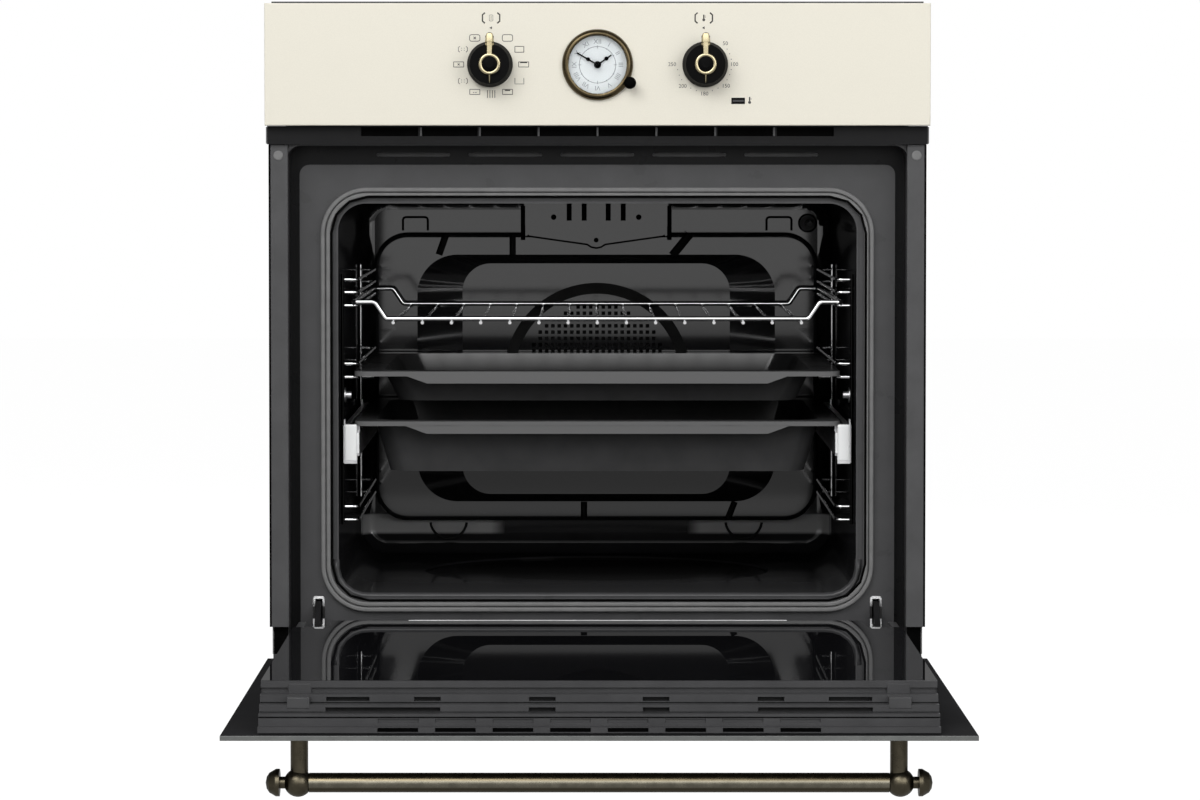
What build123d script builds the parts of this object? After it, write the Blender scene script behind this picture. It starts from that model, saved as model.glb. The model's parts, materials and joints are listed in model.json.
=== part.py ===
from build123d import *
import math
import os

# Frame: X to the right seen from the front, Y to the back, Z up.
# Y = 0 is the front plane of the cabinet, Z = 0 the underside of the base plate.
SIDES = (-1, 1)

# Casing
CASING_TOP = 583.0
CASING_BACK = 546.0
CASING_SHEET = 1.0
BASE_SHEET = 1.2
VENT_LENGTH = 34.0
VENT_HEIGHT = 4.0
VENT_PITCH = 14.0
VENT_COLUMN_PITCH = 51.0
SIDE_VENT_Y = 393.0
SIDE_VENT_ROWS = 5
BACK_VENT_ROWS = 7
BACK_VENT_COLUMNS = 4
TERMINAL_WIDTH = 70.0
TERMINAL_HEIGHT = 46.0
TERMINAL_DEPTH = 26.0
TERMINAL_X = 190.0
TERMINAL_Z = 505.0
TERMINAL_WALL = 2.0
TERMINAL_CORNER = 5.0
CABLE_BORE = 4.6
GLAND_RADIUS = 8.0
GLAND_LENGTH = 9.0

# Front frame: flange, channel, raised frame and mouth
FRAME_SHEET = 0.8
FLANGE_HALF = 292.5
FLANGE_BOTTOM = 1.0
FLANGE_TOP = 469.0
FLANGE_CORNER = 2.0
CHANNEL_HALF = 279.0
CHANNEL_BOTTOM = 3.0
CHANNEL_TOP = 467.8
CHANNEL_CORNER = 12.0
CHANNEL_DEPTH = 34.0
RAISED_HALF = 269.8
RAISED_BOTTOM = 12.0
RAISED_TOP = 450.5
RAISED_CORNER = 9.0
RAISED_FRONT = 26.0
MOUTH_HALF = 235.0
MOUTH_BOTTOM = 57.3
MOUTH_TOP = 415.5
MOUTH_CORNER = 25.0
LIP_WIDTH = 1.6
LIP_AHEAD = 1.5
LOUVRE_COUNT = 5
LOUVRE_PITCH = 83.5
LOUVRE_LENGTH = 67.0
LOUVRE_HEIGHT = 3.0
LOUVRE_Z = 459.5

# Trims and cabinet screw bushes
TRIM_INNER = 277.8
TRIM_OUTER = 293.8
TRIM_BOTTOM = 34.5
TRIM_TOP = 468.5
TRIM_FRONT = -8.0
TRIM_SHEET = 1.0
LOWER_TRIM_TOP = 9.0
LOWER_TRIM_DEPTH = 2.0
SCREW_X = 286.3
SCREW_Z = 459.0
SCREW_BORE = 2.4
BUSH_SLEEVE = 3.3
BUSH_HEAD = 4.35
BUSH_HEAD_THICKNESS = 0.6

# Air outlet strip and duct
OUTLET_HALF = 296.0
OUTLET_TOP = 485.5
OUTLET_FRONT = -12.0
OUTLET_BACK = -2.0
OUTLET_SHEET = 1.2
OUTLET_SLOTS = 8
OUTLET_SLOT_PITCH = 53.2
OUTLET_RIB = 2.0
OUTLET_SLOT_BOTTOM = 476.3
OUTLET_SLOT_TOP = 484.4
DUCT_SHEET = 0.8
DUCT_BOTTOM = 469.8
DUCT_TOP = 485.4
DUCT_FRONT = 0.5
DUCT_FRONT_HALF = 250.0
DUCT_BACK = 300.0

# Cooling blower
BLOWER_HALF = 118.0
BLOWER_DEPTH = 92.0
BLOWER_TOP = 552.0
BLOWER_WHEEL_RADIUS = 29.0
BLOWER_WHEEL_HALF = 110.0
BLOWER_WHEEL_Z = 516.0
BLOWER_BLADES = 18
BLOWER_BLADE = 7.0
BLOWER_DISC = 2.0
BLOWER_SHAFT = 3.0
BLOWER_MOTOR_RADIUS = 30.0
BLOWER_MOTOR_LENGTH = 38.0
RUNNING_GAP = 0.05

# Control panel and its carrier
PANEL_HALF = 297.5
PANEL_BOTTOM = 485.7
PANEL_TOP = 595.0
PANEL_FRONT = -22.0
PANEL_RETURN = 18.0
PANEL_SHEET = 1.2
PANEL_EDGE = 1.0
CARRIER_HALF = 292.5
CARRIER_BOTTOM = 486.6
CARRIER_TOP = 597.0
CARRIER_FRONT = -4.0
CARRIER_SHEET = 1.5
CARRIER_LEG = 24.0
CARRIER_EAR_BOTTOM = 500.0
CARRIER_EAR_TOP = 580.0

# Knobs, switches and pilot lamp
KNOB_X = 96.0
KNOB_Z = 540.3
KNOB_RADIUS = 20.35
KNOB_TOP_RADIUS = 17.6
KNOB_GAP = 1.2
KNOB_SKIRT = 3.5
KNOB_HEIGHT = 18.5
KNOB_DOME = 4.5
SPINDLE_RADIUS = 3.0
SPINDLE_HOLE = 4.5
SPINDLE_BACK = 24.0
KNOB_NOSE_WIDTH = 7.4
KNOB_NOSE_DEPTH = 4.0
POINTER_THICKNESS = 2.4
POINTER_RING_OUTER = 9.7
POINTER_RING_INNER = 6.5
POINTER_TIP = 28.0
POINTER_TIP_WIDTH = 5.9
POINTER_ROOT_WIDTH = 9.4
POINTER_TAIL = 16.6
POINTER_TAIL_WIDTH = 2.7
POINTER_BEVEL = 0.9
SWITCH_HALF = 21.0
SWITCH_DEPTH = 34.0
THERMOSTAT_RADIUS = 24.0
THERMOSTAT_DEPTH = 30.0
PILOT_X = 125.6
PILOT_Z = 507.8
PILOT_WIDTH = 12.2
PILOT_HEIGHT = 5.6
PILOT_PROUD = 0.8
PILOT_BACK = 12.0
FIT_GAP = 0.2

# Clock
CLOCK_Z = 540.0
BEZEL_OUTER = 31.75
BEZEL_LIP = 25.9
BEZEL_BORE = 26.9
BEZEL_SLEEVE = 27.8
BEZEL_PROUD = 5.6
BEZEL_ROUND = 1.2
BEZEL_SLEEVE_BACK = -15.0
GLASS_FRONT = -26.2
CLOCK_GLASS_THICKNESS = 1.2
DIAL_FRONT = -20.2
DIAL_THICKNESS = 1.0
MOVEMENT_NECK = 26.6
MOVEMENT_HALF = 38.0
MOVEMENT_BACK = 11.0
HAND_POST = 1.2
HAND_POST_FRONT = -24.2
HOUR_HAND_BACK = -21.2
MINUTE_HAND_BACK = -22.4
HAND_THICKNESS = 0.5
HOUR_HAND_LENGTH = 15.1
MINUTE_HAND_LENGTH = 21.3
HAND_WIDTH = 1.3
HAND_DOT = 1.85
HAND_DOT_REACH = 9.7
HOUR_HUB = 2.6
MINUTE_HUB = 3.25
MINUTE_HUB_FRONT = -24.6
MINUTE_ANGLE = 300.0
HOUR_ANGLE = 55.0
SET_KNOB_X = 28.9
SET_KNOB_Z = 523.7
SET_KNOB_RADIUS = 5.45
SET_KNOB_Y = -33.0
SET_STEM = 1.3
SET_STEM_BACK = 4.0

# Muffle, seal and insulation
MUFFLE_SHEET = 1.0
MUFFLE_BACK = 418.0
MUFFLE_EDGE = 12.0
MUFFLE_FLANGE = 10.0
FLOOR_PRESS_HALF = 166.0
FLOOR_PRESS_DEPTH = 128.0
FLOOR_PRESS_Y = 255.0
FLOOR_PRESS_DROP = 2.0
ROOF_HALF = 165.0
ROOF_FRONT = 60.0
ROOF_BACK = 380.0
ROOF_RISE = 16.5
SEAL_HALF = 250.7
SEAL_BOTTOM = 44.6
SEAL_TOP = 430.0
SEAL_CORNER = 42.0
SEAL_WIDTH = 9.0
SEAL_FRONT = 20.4
SEAL_BASE = 24.2
SEAL_GROOVE = 0.6
SEAL_ROUND = 1.4
WOOL_HALF = 262.0
WOOL_BOTTOM = 22.0
WOOL_TOP = 452.0
WOOL_FRONT = 36.0
WOOL_BACK = 447.0
WOOL_GAP = 1.5
WOOL_FLOOR = 41.0
WOOL_NOTCH_HALF = 243.0
WOOL_NOTCH_BACK = 84.0
WOOL_NOTCH_TOP = 62.0
MOTOR_RECESS = 50.0

# Heating elements, lamp and temperature sensor
TUBE_RADIUS = 3.25
TUBE_BEND = 12.0
GRILL_Z = 424.0
GRILL_BACK = 430.0
GRILL_LOOPS = ((27.0, 150.0, 75.0, 368.0), (12.0, 100.0, 120.0, 336.0))
RING_RADIUS = 95.0
RING_Y = 404.0
RING_LEG_X = 16.0
RING_LEG_BACK = 436.0
BASE_ELEMENT_Z = 47.5
BASE_ELEMENT_HALF = 150.0
BASE_ELEMENT_FRONT = 90.0
BASE_ELEMENT_BACK = 380.0
BASE_ELEMENT_LEG = 14.0
LAMP_X = 184.0
LAMP_Y = 320.0
LAMP_HOLE = 19.0
LAMP_LENS = 23.0
LAMP_LENS_THICKNESS = 3.6
LAMP_SOCKET = 15.0
LAMP_SOCKET_WALL = 2.0
LAMP_SOCKET_TOP = 449.0
BULB_RADIUS = 9.0
BULB_LENGTH = 14.0
SENSOR_X = 213.0
SENSOR_Z = 390.0
SENSOR_FLANGE = 7.75
SENSOR_PROBE = 3.5
SENSOR_CHAMFER = 1.2
SENSOR_TIP_Y = 372.0
SENSOR_BACK = 436.0

# Fan cover, bracket plate and convection fan
COVER_HALF = 222.5
COVER_BOTTOM = 91.7
COVER_TOP = 381.1
COVER_CORNER = 34.0
COVER_FRONT = 392.0
COVER_EDGE = 5.0
COVER_SHEET = 1.0
STEP_HALF = 179.0
STEP_BOTTOM = 111.3
STEP_TOP = 358.9
STEP_CORNER = 40.0
PAD_HALF = 133.5
PAD_BOTTOM = 119.5
PAD_TOP = 350.3
PAD_CORNER = 28.0
PAD_RAISE = 8.0
GROOVE_INNER = 82.2
GROOVE_OUTER = 93.7
GROOVE_DEPTH = 1.8
HOLE_SIZE = 3.6
HOLE_PITCH = 6.3
HOLE_FIELD = 74.0
FAN_X = 0.8
FAN_Z = 237.5
TAB_THICKNESS = 1.2
TAB_LIMITS = ((-195.7, -167.5), (170.3, 198.5))
TAB_TOP = 397.6
BOSS_X = 148.0
BOSS_Z = 92.0
BOSS_RADIUS = 17.0
BRACKET_HALF = 72.0
BRACKET_Y = 386.6
BRACKET_SIDE_Z = 388.0
BRACKET_TIP_Z = 374.0
BRACKET_TIP_HALF = 12.0
BRACKET_SHEET = 1.2
BRACKET_FOLD = 14.0
BRACKET_HOLE = 2.75
BRACKET_HOLE_X = 42.5
BRACKET_HOLE_Z = 396.5
BRACKET_SLOT_XS = (-27.0, -12.0, 12.0, 27.0)
BRACKET_SLOT_WIDTH = 5.0
BRACKET_SLOT_BOTTOM = 393.0
FAN_RADIUS = 75.0
FAN_FRONT = 394.0
FAN_DEPTH = 17.0
FAN_PLATE = 1.2
FAN_BLADES = 12
FAN_BLADE_INNER = 40.0
FAN_HUB = 9.0
FAN_SHAFT = 4.0
FAN_SHAFT_BACK = 470.0
FAN_MOTOR_RADIUS = 33.0
FAN_MOTOR_FRONT = 449.0
FAN_MOTOR_BACK = 498.0
FAN_MOTOR_PLATE = 46.0
FAN_MOTOR_LEG = 3.0
FAN_MOTOR_LEG_CIRCLE = 40.0
SHAFT_HOLE = 9.0

# Side racks and telescopic runners
WIRE_RADIUS = 1.5
RAIL_WIRE = 1.4
RACK_X = 233.2
RAIL_X = 218.9
RACK_FRONT = 58.0
RACK_BACK = 344.0
RACK_BOTTOM = 121.0
RACK_TOP = 350.5
RACK_TOP_RAIL = 345.4
RAIL_FIRST = 125.1
RAIL_PITCH = 65.5
RAIL_LEVELS = (0, 2, 3)
ANTI_TIP_RISE = 12.2
RAIL_BEND = 5.0
NUT_Y = 66.0
NUT_Z = 239.1
NUT_RADIUS = 3.5
NUT_LENGTH = 5.0
WASHER_RADIUS = 7.0
WASHER_THICKNESS = 1.0
PIN_RADIUS = 2.0
RUNNER_OUTER = 231.7
RUNNER_FIXED_WIDTH = 5.0
RUNNER_FIXED_BOTTOM = 178.5
RUNNER_FIXED_TOP = 212.5
RUNNER_FRONT = 44.0
RUNNER_BACK = 374.0
RUNNER_SHEET = 1.2
RUNNER_GAP = 0.4
RUNNER_MIDDLE_WIDTH = 3.7
RUNNER_MIDDLE_HEIGHT = 26.0
RUNNER_SLIDE_WIDTH = 5.0
RUNNER_SLIDE_BOTTOM = 185.0
RUNNER_SLIDE_TOP = 206.6
LUG_LENGTH = 22.0
LUG_YS = (62.0, 340.0)
BLOCK_LIMITS = (219.0, 230.4)
BLOCK_BOTTOM = 178.2
BLOCK_TOP = 212.0
BLOCK_DEPTH = 5.0

# Wire shelf and trays
REST_GAP = 0.3
SHELF_ROD = 2.25
SHELF_HALF = 222.0
SHELF_FRONT = 40.0
SHELF_BACK = 379.5
SHELF_DIP_OUTER = 202.7
SHELF_DIP_INNER = 192.5
SHELF_DIP = 15.2
SHELF_BEND = 4.5
SHELF_WIRES = 15
SHELF_WIRE_PITCH = 26.54
SHELF_WIRE_OVERHANG = 3.0
TRAY_HALF = 222.0
TRAY_FRONT = 38.0
TRAY_BACK = 378.0
TRAY_CORNER = 14.0
TRAY_SHEET = 1.0
SHALLOW_RIM = 4.2
SHALLOW_BOTTOM = 234.0
SHALLOW_INNER = 197.0
DEEP_RIM = 3.9
DEEP_BOTTOM = 169.0
DEEP_INNER = 205.0
TRAY_TAPER = 14.0
TRAY_END_TAPER = 5.0
TRAY_END_RIM = 24.0
TRAY_INNER_CORNER = 22.0
LIP_DROP = 6.5
LIP_DROP_OUTER = 176.0
LIP_DROP_INNER = 155.0

# Door, in the open position: d runs from the hinge to the front, h up from the hinge
HINGE_Y = -5.15
HINGE_Z = 18.65
GLASS_CORNER = 3.0
OUTER_GLASS_HALF = 297.5
OUTER_GLASS_START = 0.35
OUTER_GLASS_END = 461.85
OUTER_GLASS_LOW = -16.85
OUTER_GLASS_THICKNESS = 4.0
INNER_GLASS_HALF = 268.5
INNER_GLASS_START = 29.35
INNER_GLASS_END = 418.9
INNER_GLASS_LOW = 20.95
INNER_GLASS_THICKNESS = 4.0
CUTOUT_X = 237.0
CUTOUT_END = 76.85
MIDDLE_GLASS_HALF = 243.0
MIDDLE_GLASS_START = 32.0
MIDDLE_GLASS_END = 411.0
MIDDLE_GLASS_LOW = 5.0
MIDDLE_GLASS_THICKNESS = 3.0
PROFILE_INNER = 244.0
PROFILE_START = 8.0
PROFILE_END = 411.5
PROFILE_SHEET = 1.0
PROFILE_FOOT = 230.0
PROFILE_SHELF = 238.0
PROFILE_FLANGE = 6.5
STAIR_START = 419.35
STAIR_END = 455.0
STAIR_TOP = 24.95
STAIR_SHEET = 1.0
STAIR_HALF = 268.5
STAIR_FIRST_TREAD = 2.5
STAIR_RISERS = (9.6, 6.9, 6.2, 8.2, 5.9)
STAIR_SLOTS = 8
STAIR_SLOT_LENGTH = 31.7
STAIR_SLOT_PITCH = 45.2
STAIR_SLOT_HEIGHT = 3.6
LEDGE_HALF = 168.0
LEDGE_SHEET = 1.3
LEDGE_TOP = 25.0
LEDGE_LOW = 12.0
CLIP_X = 238.5
CLIP_WIDTH = 20.0
CLIP_START = 424.5
CLIP_END = 437.0
CLIP_LOW = 6.5
CLIP_TOP = 22.0
CLIP_GAP = 0.4

# Hinges
SLOT_X = 253.3
SLOT_WIDTH = 10.8
SLOT_BOTTOM = 22.0
SLOT_TOP = 58.6
RECEIVER_GAP = 0.2
RECEIVER_WALL = 1.7
RECEIVER_CORNER = 2.4
RECEIVER_PROUD = 0.5
RECEIVER_BACK = 80.0
RECEIVER_EAR = 7.0
RECEIVER_EAR_SHEET = 1.5
ARM_THICKNESS = 5.0
ARM_EYE = 9.0
ARM_BOTTOM = 25.0
ARM_TOP = 54.0
ARM_BACK = 75.0
ARM_SHOULDER_Y = 22.0
ARM_HOOK_Y = 46.0
ARM_HOOK = 3.0
HINGE_PIN = 3.0
CHEEK_GAP = 0.6
CHEEK_SHEET = 1.4
CHEEK_END = 7.65
CHEEK_LOW = -11.85
CHEEK_HIGH = 12.15
CHEEK_SHOULDER = 14.0
CHEEK_LENGTH = 231.35
SPRING_OUTER = 2.6
SPRING_INNER = 1.4
SPRING_START = 60.0
SPRING_END = 215.0
SPRING_ANCHOR = 4.0

# Handle
HANDLE_D = 426.9
HANDLE_H = -55.25
BAR_RADIUS = 7.75
POST_X = 237.5
POST_RADIUS = 7.0
POST_FOOT = 9.0
POST_FOOT_HEIGHT = 4.0
POST_STUD = 4.0
STUD_HOLE = 4.2
BALL_X = 238.6
BALL_RADIUS = 11.3
BALL_FLAT = 229.7
NECK_RADIUS = 4.75
NECK_END = 253.1
FINIAL_RADIUS = 10.9
FINIAL_EDGE = 3.0
FINIAL_END = 264.3
BAR_SPIGOT = 4.0
SPIGOT_LENGTH = 12.0

# Values worked out from the sizes above
CHANNEL = (CHANNEL_HALF, CHANNEL_BOTTOM, CHANNEL_TOP, CHANNEL_CORNER)
RAISED = (RAISED_HALF, RAISED_BOTTOM, RAISED_TOP, RAISED_CORNER)
MOUTH = (MOUTH_HALF, MOUTH_BOTTOM, MOUTH_TOP, MOUTH_CORNER)
SEAL = (SEAL_HALF, SEAL_BOTTOM, SEAL_TOP, SEAL_CORNER)
COVER = (COVER_HALF, COVER_BOTTOM, COVER_TOP, COVER_CORNER)
STEP = (STEP_HALF, STEP_BOTTOM, STEP_TOP, STEP_CORNER)
PAD = (PAD_HALF, PAD_BOTTOM, PAD_TOP, PAD_CORNER)
CASING_HALF = CHANNEL_HALF + FRAME_SHEET
CASING_INNER = CASING_HALF - CASING_SHEET
CASING_BACK_INNER = CASING_BACK - CASING_SHEET
FRAME_BACK = CHANNEL_DEPTH + FRAME_SHEET
MUFFLE_FRONT = RAISED_FRONT + FRAME_SHEET
MUFFLE_OUTER_BACK = MUFFLE_BACK + MUFFLE_SHEET
CARRIER_BACK = CARRIER_FRONT + CARRIER_SHEET
BLOWER_Y = DUCT_BACK + BLOWER_DEPTH / 2
RAIL_OUTER_X = RAIL_X + RAIL_WIRE


def pair(side, inner, outer):
    """X limits of a stretch from inner to outer on the left (-1) or the right (1)."""
    return min(side * inner, side * outer), max(side * inner, side * outer)


def block(xs, ys, zs, mode=Mode.ADD):
    """Box between (low, high) limits along X, Y and Z, in the part being built."""
    with Locations((sum(xs) / 2, sum(ys) / 2, sum(zs) / 2)):
        Box(xs[1] - xs[0], ys[1] - ys[0], zs[1] - zs[0], mode=mode)


def door_block(xs, ds, hs, mode=Mode.ADD):
    """Box given by its distance from the hinge and its height over the hinge, door open."""
    block(xs, (HINGE_Y - ds[1], HINGE_Y - ds[0]), (HINGE_Z + hs[0], HINGE_Z + hs[1]), mode)


def front_plane(y, x=0, z=0):
    """Plane facing the front at depth y, with its own X to the right and its own Y up."""
    return Plane(origin=(x, y, z), x_dir=(1, 0, 0), z_dir=(0, -1, 0))


def door_plane(x):
    """Plane across the hinge line at x, with its own X along d and its own Y along h."""
    return Plane(origin=(x, HINGE_Y, HINGE_Z), x_dir=(0, -1, 0), z_dir=(-1, 0, 0))


def grown(outline, by):
    """The same rounded outline, larger by a margin all round."""
    half, bottom, top, corner = outline
    return half + by, bottom - by, top + by, corner + by


def rounded(half, bottom, top, corner, mode=Mode.ADD):
    """Rounded rectangle about X = 0 between two heights, in the sketch being built."""
    with Locations((0, (bottom + top) / 2)):
        RectangleRounded(2 * half, top - bottom, corner, mode=mode)


def slab(front, back, outer, inner=None, mode=Mode.ADD):
    """Rounded plate between two depths, with a rounded opening where inner is given."""
    with BuildSketch(front_plane(back)) as face:
        rounded(*outer)
        if inner:
            rounded(*inner, mode=Mode.SUBTRACT)
    extrude(face.sketch, amount=back - front, mode=mode)


def raised(back, front, mode=Mode.ADD):
    """Rounded form between two ends, each given by its depth and its outline."""
    ends = []
    for depth, outline in (back, front):
        with BuildSketch(front_plane(depth)) as end:
            rounded(*outline)
        ends.append(end.sketch.faces()[0])
    loft(ends, mode=mode)


def rod(start, end, radius, mode=Mode.ADD):
    """Round rod between two points, in the part being built."""
    way = Vector(*end) - Vector(*start)
    with BuildSketch(Plane(origin=start, z_dir=way)) as section:
        Circle(radius)
    extrude(section.sketch, amount=way.length, mode=mode)


def bent_rod(points, radius, bend):
    """Round rod along straight runs with rounded bends, in the part being built."""
    with BuildLine(mode=Mode.PRIVATE) as route:
        FilletPolyline(*points, radius=bend)
    with BuildSketch(Plane(origin=route.line @ 0, z_dir=route.line % 0)) as section:
        Circle(radius)
    sweep(section.sketch, path=route.line)


def lathe(origin, direction, outline, mode=Mode.ADD):
    """Turned solid about a line from origin, from (radius, distance along it) points."""
    along = Vector(*direction)
    radial = Vector(0, 0, 1) if abs(along.Z) < abs(along.X) + abs(along.Y) else Vector(1, 0, 0)
    with BuildSketch(Plane(origin=origin, x_dir=radial, z_dir=radial.cross(along))) as half:
        with BuildLine():
            Polyline(*outline, close=True)
        make_face()
    revolve(half.sketch, Axis(origin, direction), mode=mode)


def write(piece, name):
    """Label a finished piece and write its file."""
    piece.part.label = name
    export_step(piece.part, f"parts/{name}.step")


os.makedirs("parts", exist_ok=True)

# Casing panels
with BuildPart() as base_plate:
    block((-CASING_INNER, CASING_INNER), (0, CASING_BACK_INNER), (0, BASE_SHEET))
    block(
        (-CASING_INNER, CASING_INNER),
        (CASING_BACK_INNER - BASE_SHEET, CASING_BACK_INNER),
        (0, VENT_PITCH),
    )
    with BuildSketch(Plane.XY):
        with Locations((0, CASING_BACK_INNER / 2)):
            with GridLocations(VENT_COLUMN_PITCH, VENT_COLUMN_PITCH, BACK_VENT_ROWS, BACK_VENT_ROWS):
                SlotOverall(VENT_LENGTH, VENT_HEIGHT)
    extrude(amount=BASE_SHEET, mode=Mode.SUBTRACT)
write(base_plate, "base_plate")

with BuildPart() as side_panels:
    for side in SIDES:
        block(
            pair(side, CASING_INNER, CASING_HALF),
            (FRAME_BACK, CASING_BACK_INNER),
            (0, CASING_TOP),
        )
        block(
            pair(side, CASING_INNER, CASING_HALF),
            (0, FRAME_BACK),
            (FLANGE_TOP, CASING_TOP),
        )
    with BuildSketch(Plane.YZ.offset(-CASING_HALF)):
        with Locations((SIDE_VENT_Y, (CASING_TOP + FLANGE_TOP) / 2)):
            with GridLocations(VENT_COLUMN_PITCH, VENT_PITCH, SIDE_VENT_ROWS, SIDE_VENT_ROWS):
                SlotOverall(VENT_LENGTH, VENT_HEIGHT)
    extrude(amount=2 * CASING_HALF, mode=Mode.SUBTRACT)
write(side_panels, "side_panels")

with BuildPart() as back_panel:
    block((-CASING_HALF, CASING_HALF), (CASING_BACK_INNER, CASING_BACK), (0, CASING_TOP))
    with BuildSketch(front_plane(CASING_BACK)):
        with Locations((FAN_X, FAN_Z)):
            with GridLocations(
                VENT_COLUMN_PITCH, VENT_PITCH, BACK_VENT_COLUMNS, BACK_VENT_ROWS
            ):
                SlotOverall(VENT_LENGTH, VENT_HEIGHT)
        with Locations((TERMINAL_X, TERMINAL_Z)):
            Circle(GLAND_RADIUS)
    extrude(amount=CASING_SHEET, mode=Mode.SUBTRACT)
write(back_panel, "back_panel")

with BuildPart() as top_cover:
    block(
        (-CASING_INNER, CASING_INNER),
        (0, CASING_BACK_INNER),
        (CASING_TOP - CASING_SHEET, CASING_TOP),
    )
    with BuildSketch(Plane.XY.offset(CASING_TOP)):
        with Locations((0, BLOWER_Y)):
            with GridLocations(VENT_COLUMN_PITCH, VENT_PITCH, SIDE_VENT_ROWS, SIDE_VENT_ROWS):
                SlotOverall(VENT_LENGTH, VENT_HEIGHT)
    extrude(amount=-CASING_SHEET, mode=Mode.SUBTRACT)
write(top_cover, "top_cover")

with BuildPart() as terminal_box:
    terminal_xs = (TERMINAL_X - TERMINAL_WIDTH / 2, TERMINAL_X + TERMINAL_WIDTH / 2)
    terminal_zs = (TERMINAL_Z - TERMINAL_HEIGHT / 2, TERMINAL_Z + TERMINAL_HEIGHT / 2)
    block(terminal_xs, (CASING_BACK, CASING_BACK + TERMINAL_DEPTH), terminal_zs)
    fillet(terminal_box.edges().filter_by(Axis.Y), TERMINAL_CORNER)
    offset(amount=-TERMINAL_WALL, openings=terminal_box.faces().sort_by(Axis.Y)[0])
    gland_y = CASING_BACK + TERMINAL_DEPTH / 2
    rod(
        (TERMINAL_X, gland_y, terminal_zs[0] - GLAND_LENGTH),
        (TERMINAL_X, gland_y, terminal_zs[0] + TERMINAL_WALL),
        GLAND_RADIUS,
    )
    rod(
        (TERMINAL_X, gland_y, terminal_zs[0] - 2 * GLAND_LENGTH),
        (TERMINAL_X, gland_y, terminal_zs[0] + 2 * TERMINAL_WALL),
        CABLE_BORE,
        mode=Mode.SUBTRACT,
    )
write(terminal_box, "terminal_box")

# Pressed front frame
with BuildPart() as front_frame:
    flange = (FLANGE_HALF, FLANGE_BOTTOM, FLANGE_TOP, FLANGE_CORNER)
    slab(-FRAME_SHEET, 0, flange, CHANNEL)
    slab(0, FRAME_BACK, grown(CHANNEL, FRAME_SHEET), CHANNEL)
    slab(CHANNEL_DEPTH, FRAME_BACK, grown(CHANNEL, FRAME_SHEET), grown(RAISED, -FRAME_SHEET))
    slab(RAISED_FRONT, FRAME_BACK, RAISED, grown(RAISED, -FRAME_SHEET))
    slab(RAISED_FRONT, MUFFLE_FRONT, RAISED, MOUTH)
    slab(RAISED_FRONT - LIP_AHEAD, MUFFLE_FRONT, grown(MOUTH, LIP_WIDTH), MOUTH)
    with BuildSketch(front_plane(FRAME_BACK)):
        with Locations((0, LOUVRE_Z)):
            with GridLocations(LOUVRE_PITCH, LOUVRE_HEIGHT, LOUVRE_COUNT, 1):
                SlotOverall(LOUVRE_LENGTH, LOUVRE_HEIGHT)
        for side in SIDES:
            with Locations((side * SLOT_X, (SLOT_BOTTOM + SLOT_TOP) / 2)):
                RectangleRounded(SLOT_WIDTH, SLOT_TOP - SLOT_BOTTOM, RECEIVER_CORNER + RECEIVER_GAP)
    extrude(amount=FRAME_BACK - RAISED_FRONT, mode=Mode.SUBTRACT)
    for side in SIDES:
        bush_x = side * SCREW_X
        rod((bush_x, -FRAME_SHEET, SCREW_Z), (bush_x, 0, SCREW_Z), BUSH_SLEEVE, Mode.SUBTRACT)
write(front_frame, "front_frame")

# Trims on the flange
with BuildPart() as frame_trims:
    for side in SIDES:
        block(
            pair(side, TRIM_INNER, TRIM_OUTER),
            (TRIM_FRONT, -FRAME_SHEET),
            (TRIM_BOTTOM, TRIM_TOP),
        )
        block(
            pair(side, TRIM_INNER + TRIM_SHEET, TRIM_OUTER - TRIM_SHEET),
            (TRIM_FRONT + TRIM_SHEET, -FRAME_SHEET),
            (TRIM_BOTTOM, TRIM_TOP),
            Mode.SUBTRACT,
        )
        bush_x = side * SCREW_X
        rod((bush_x, TRIM_FRONT, SCREW_Z), (bush_x, 0, SCREW_Z), BUSH_SLEEVE, Mode.SUBTRACT)
    chamfer(frame_trims.edges().filter_by(Axis.Z).group_by(Axis.Y)[0], TRIM_SHEET / 2)
    block(
        (-FLANGE_HALF, FLANGE_HALF),
        (-FRAME_SHEET - LOWER_TRIM_DEPTH, -FRAME_SHEET),
        (FLANGE_BOTTOM, LOWER_TRIM_TOP),
    )
write(frame_trims, "frame_trims")

with BuildPart() as cabinet_bushes:
    for side in SIDES:
        lathe(
            (side * SCREW_X, 0, SCREW_Z),
            (0, 1, 0),
            (
                (SCREW_BORE, TRIM_FRONT - BUSH_HEAD_THICKNESS),
                (BUSH_HEAD, TRIM_FRONT - BUSH_HEAD_THICKNESS),
                (BUSH_HEAD, TRIM_FRONT),
                (BUSH_SLEEVE, TRIM_FRONT),
                (BUSH_SLEEVE, 0),
                (SCREW_BORE, 0),
            ),
        )
write(cabinet_bushes, "cabinet_bushes")

# Air outlet strip under the control panel
with BuildPart() as air_outlet:
    outlet_xs = (-OUTLET_HALF, OUTLET_HALF)
    block(outlet_xs, (OUTLET_FRONT, OUTLET_BACK), (FLANGE_TOP, OUTLET_TOP))
    block(
        (-OUTLET_HALF + OUTLET_SHEET, OUTLET_HALF - OUTLET_SHEET),
        (OUTLET_FRONT + OUTLET_SHEET, OUTLET_BACK),
        (FLANGE_TOP + OUTLET_SHEET, OUTLET_SLOT_TOP),
        Mode.SUBTRACT,
    )
    with BuildSketch(front_plane(OUTLET_FRONT + OUTLET_SHEET)):
        with Locations((0, (OUTLET_SLOT_BOTTOM + OUTLET_SLOT_TOP) / 2)):
            with GridLocations(OUTLET_SLOT_PITCH, 1, OUTLET_SLOTS, 1):
                Rectangle(OUTLET_SLOT_PITCH - OUTLET_RIB, OUTLET_SLOT_TOP - OUTLET_SLOT_BOTTOM)
    extrude(amount=OUTLET_SHEET, mode=Mode.SUBTRACT)
write(air_outlet, "air_outlet")

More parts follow.
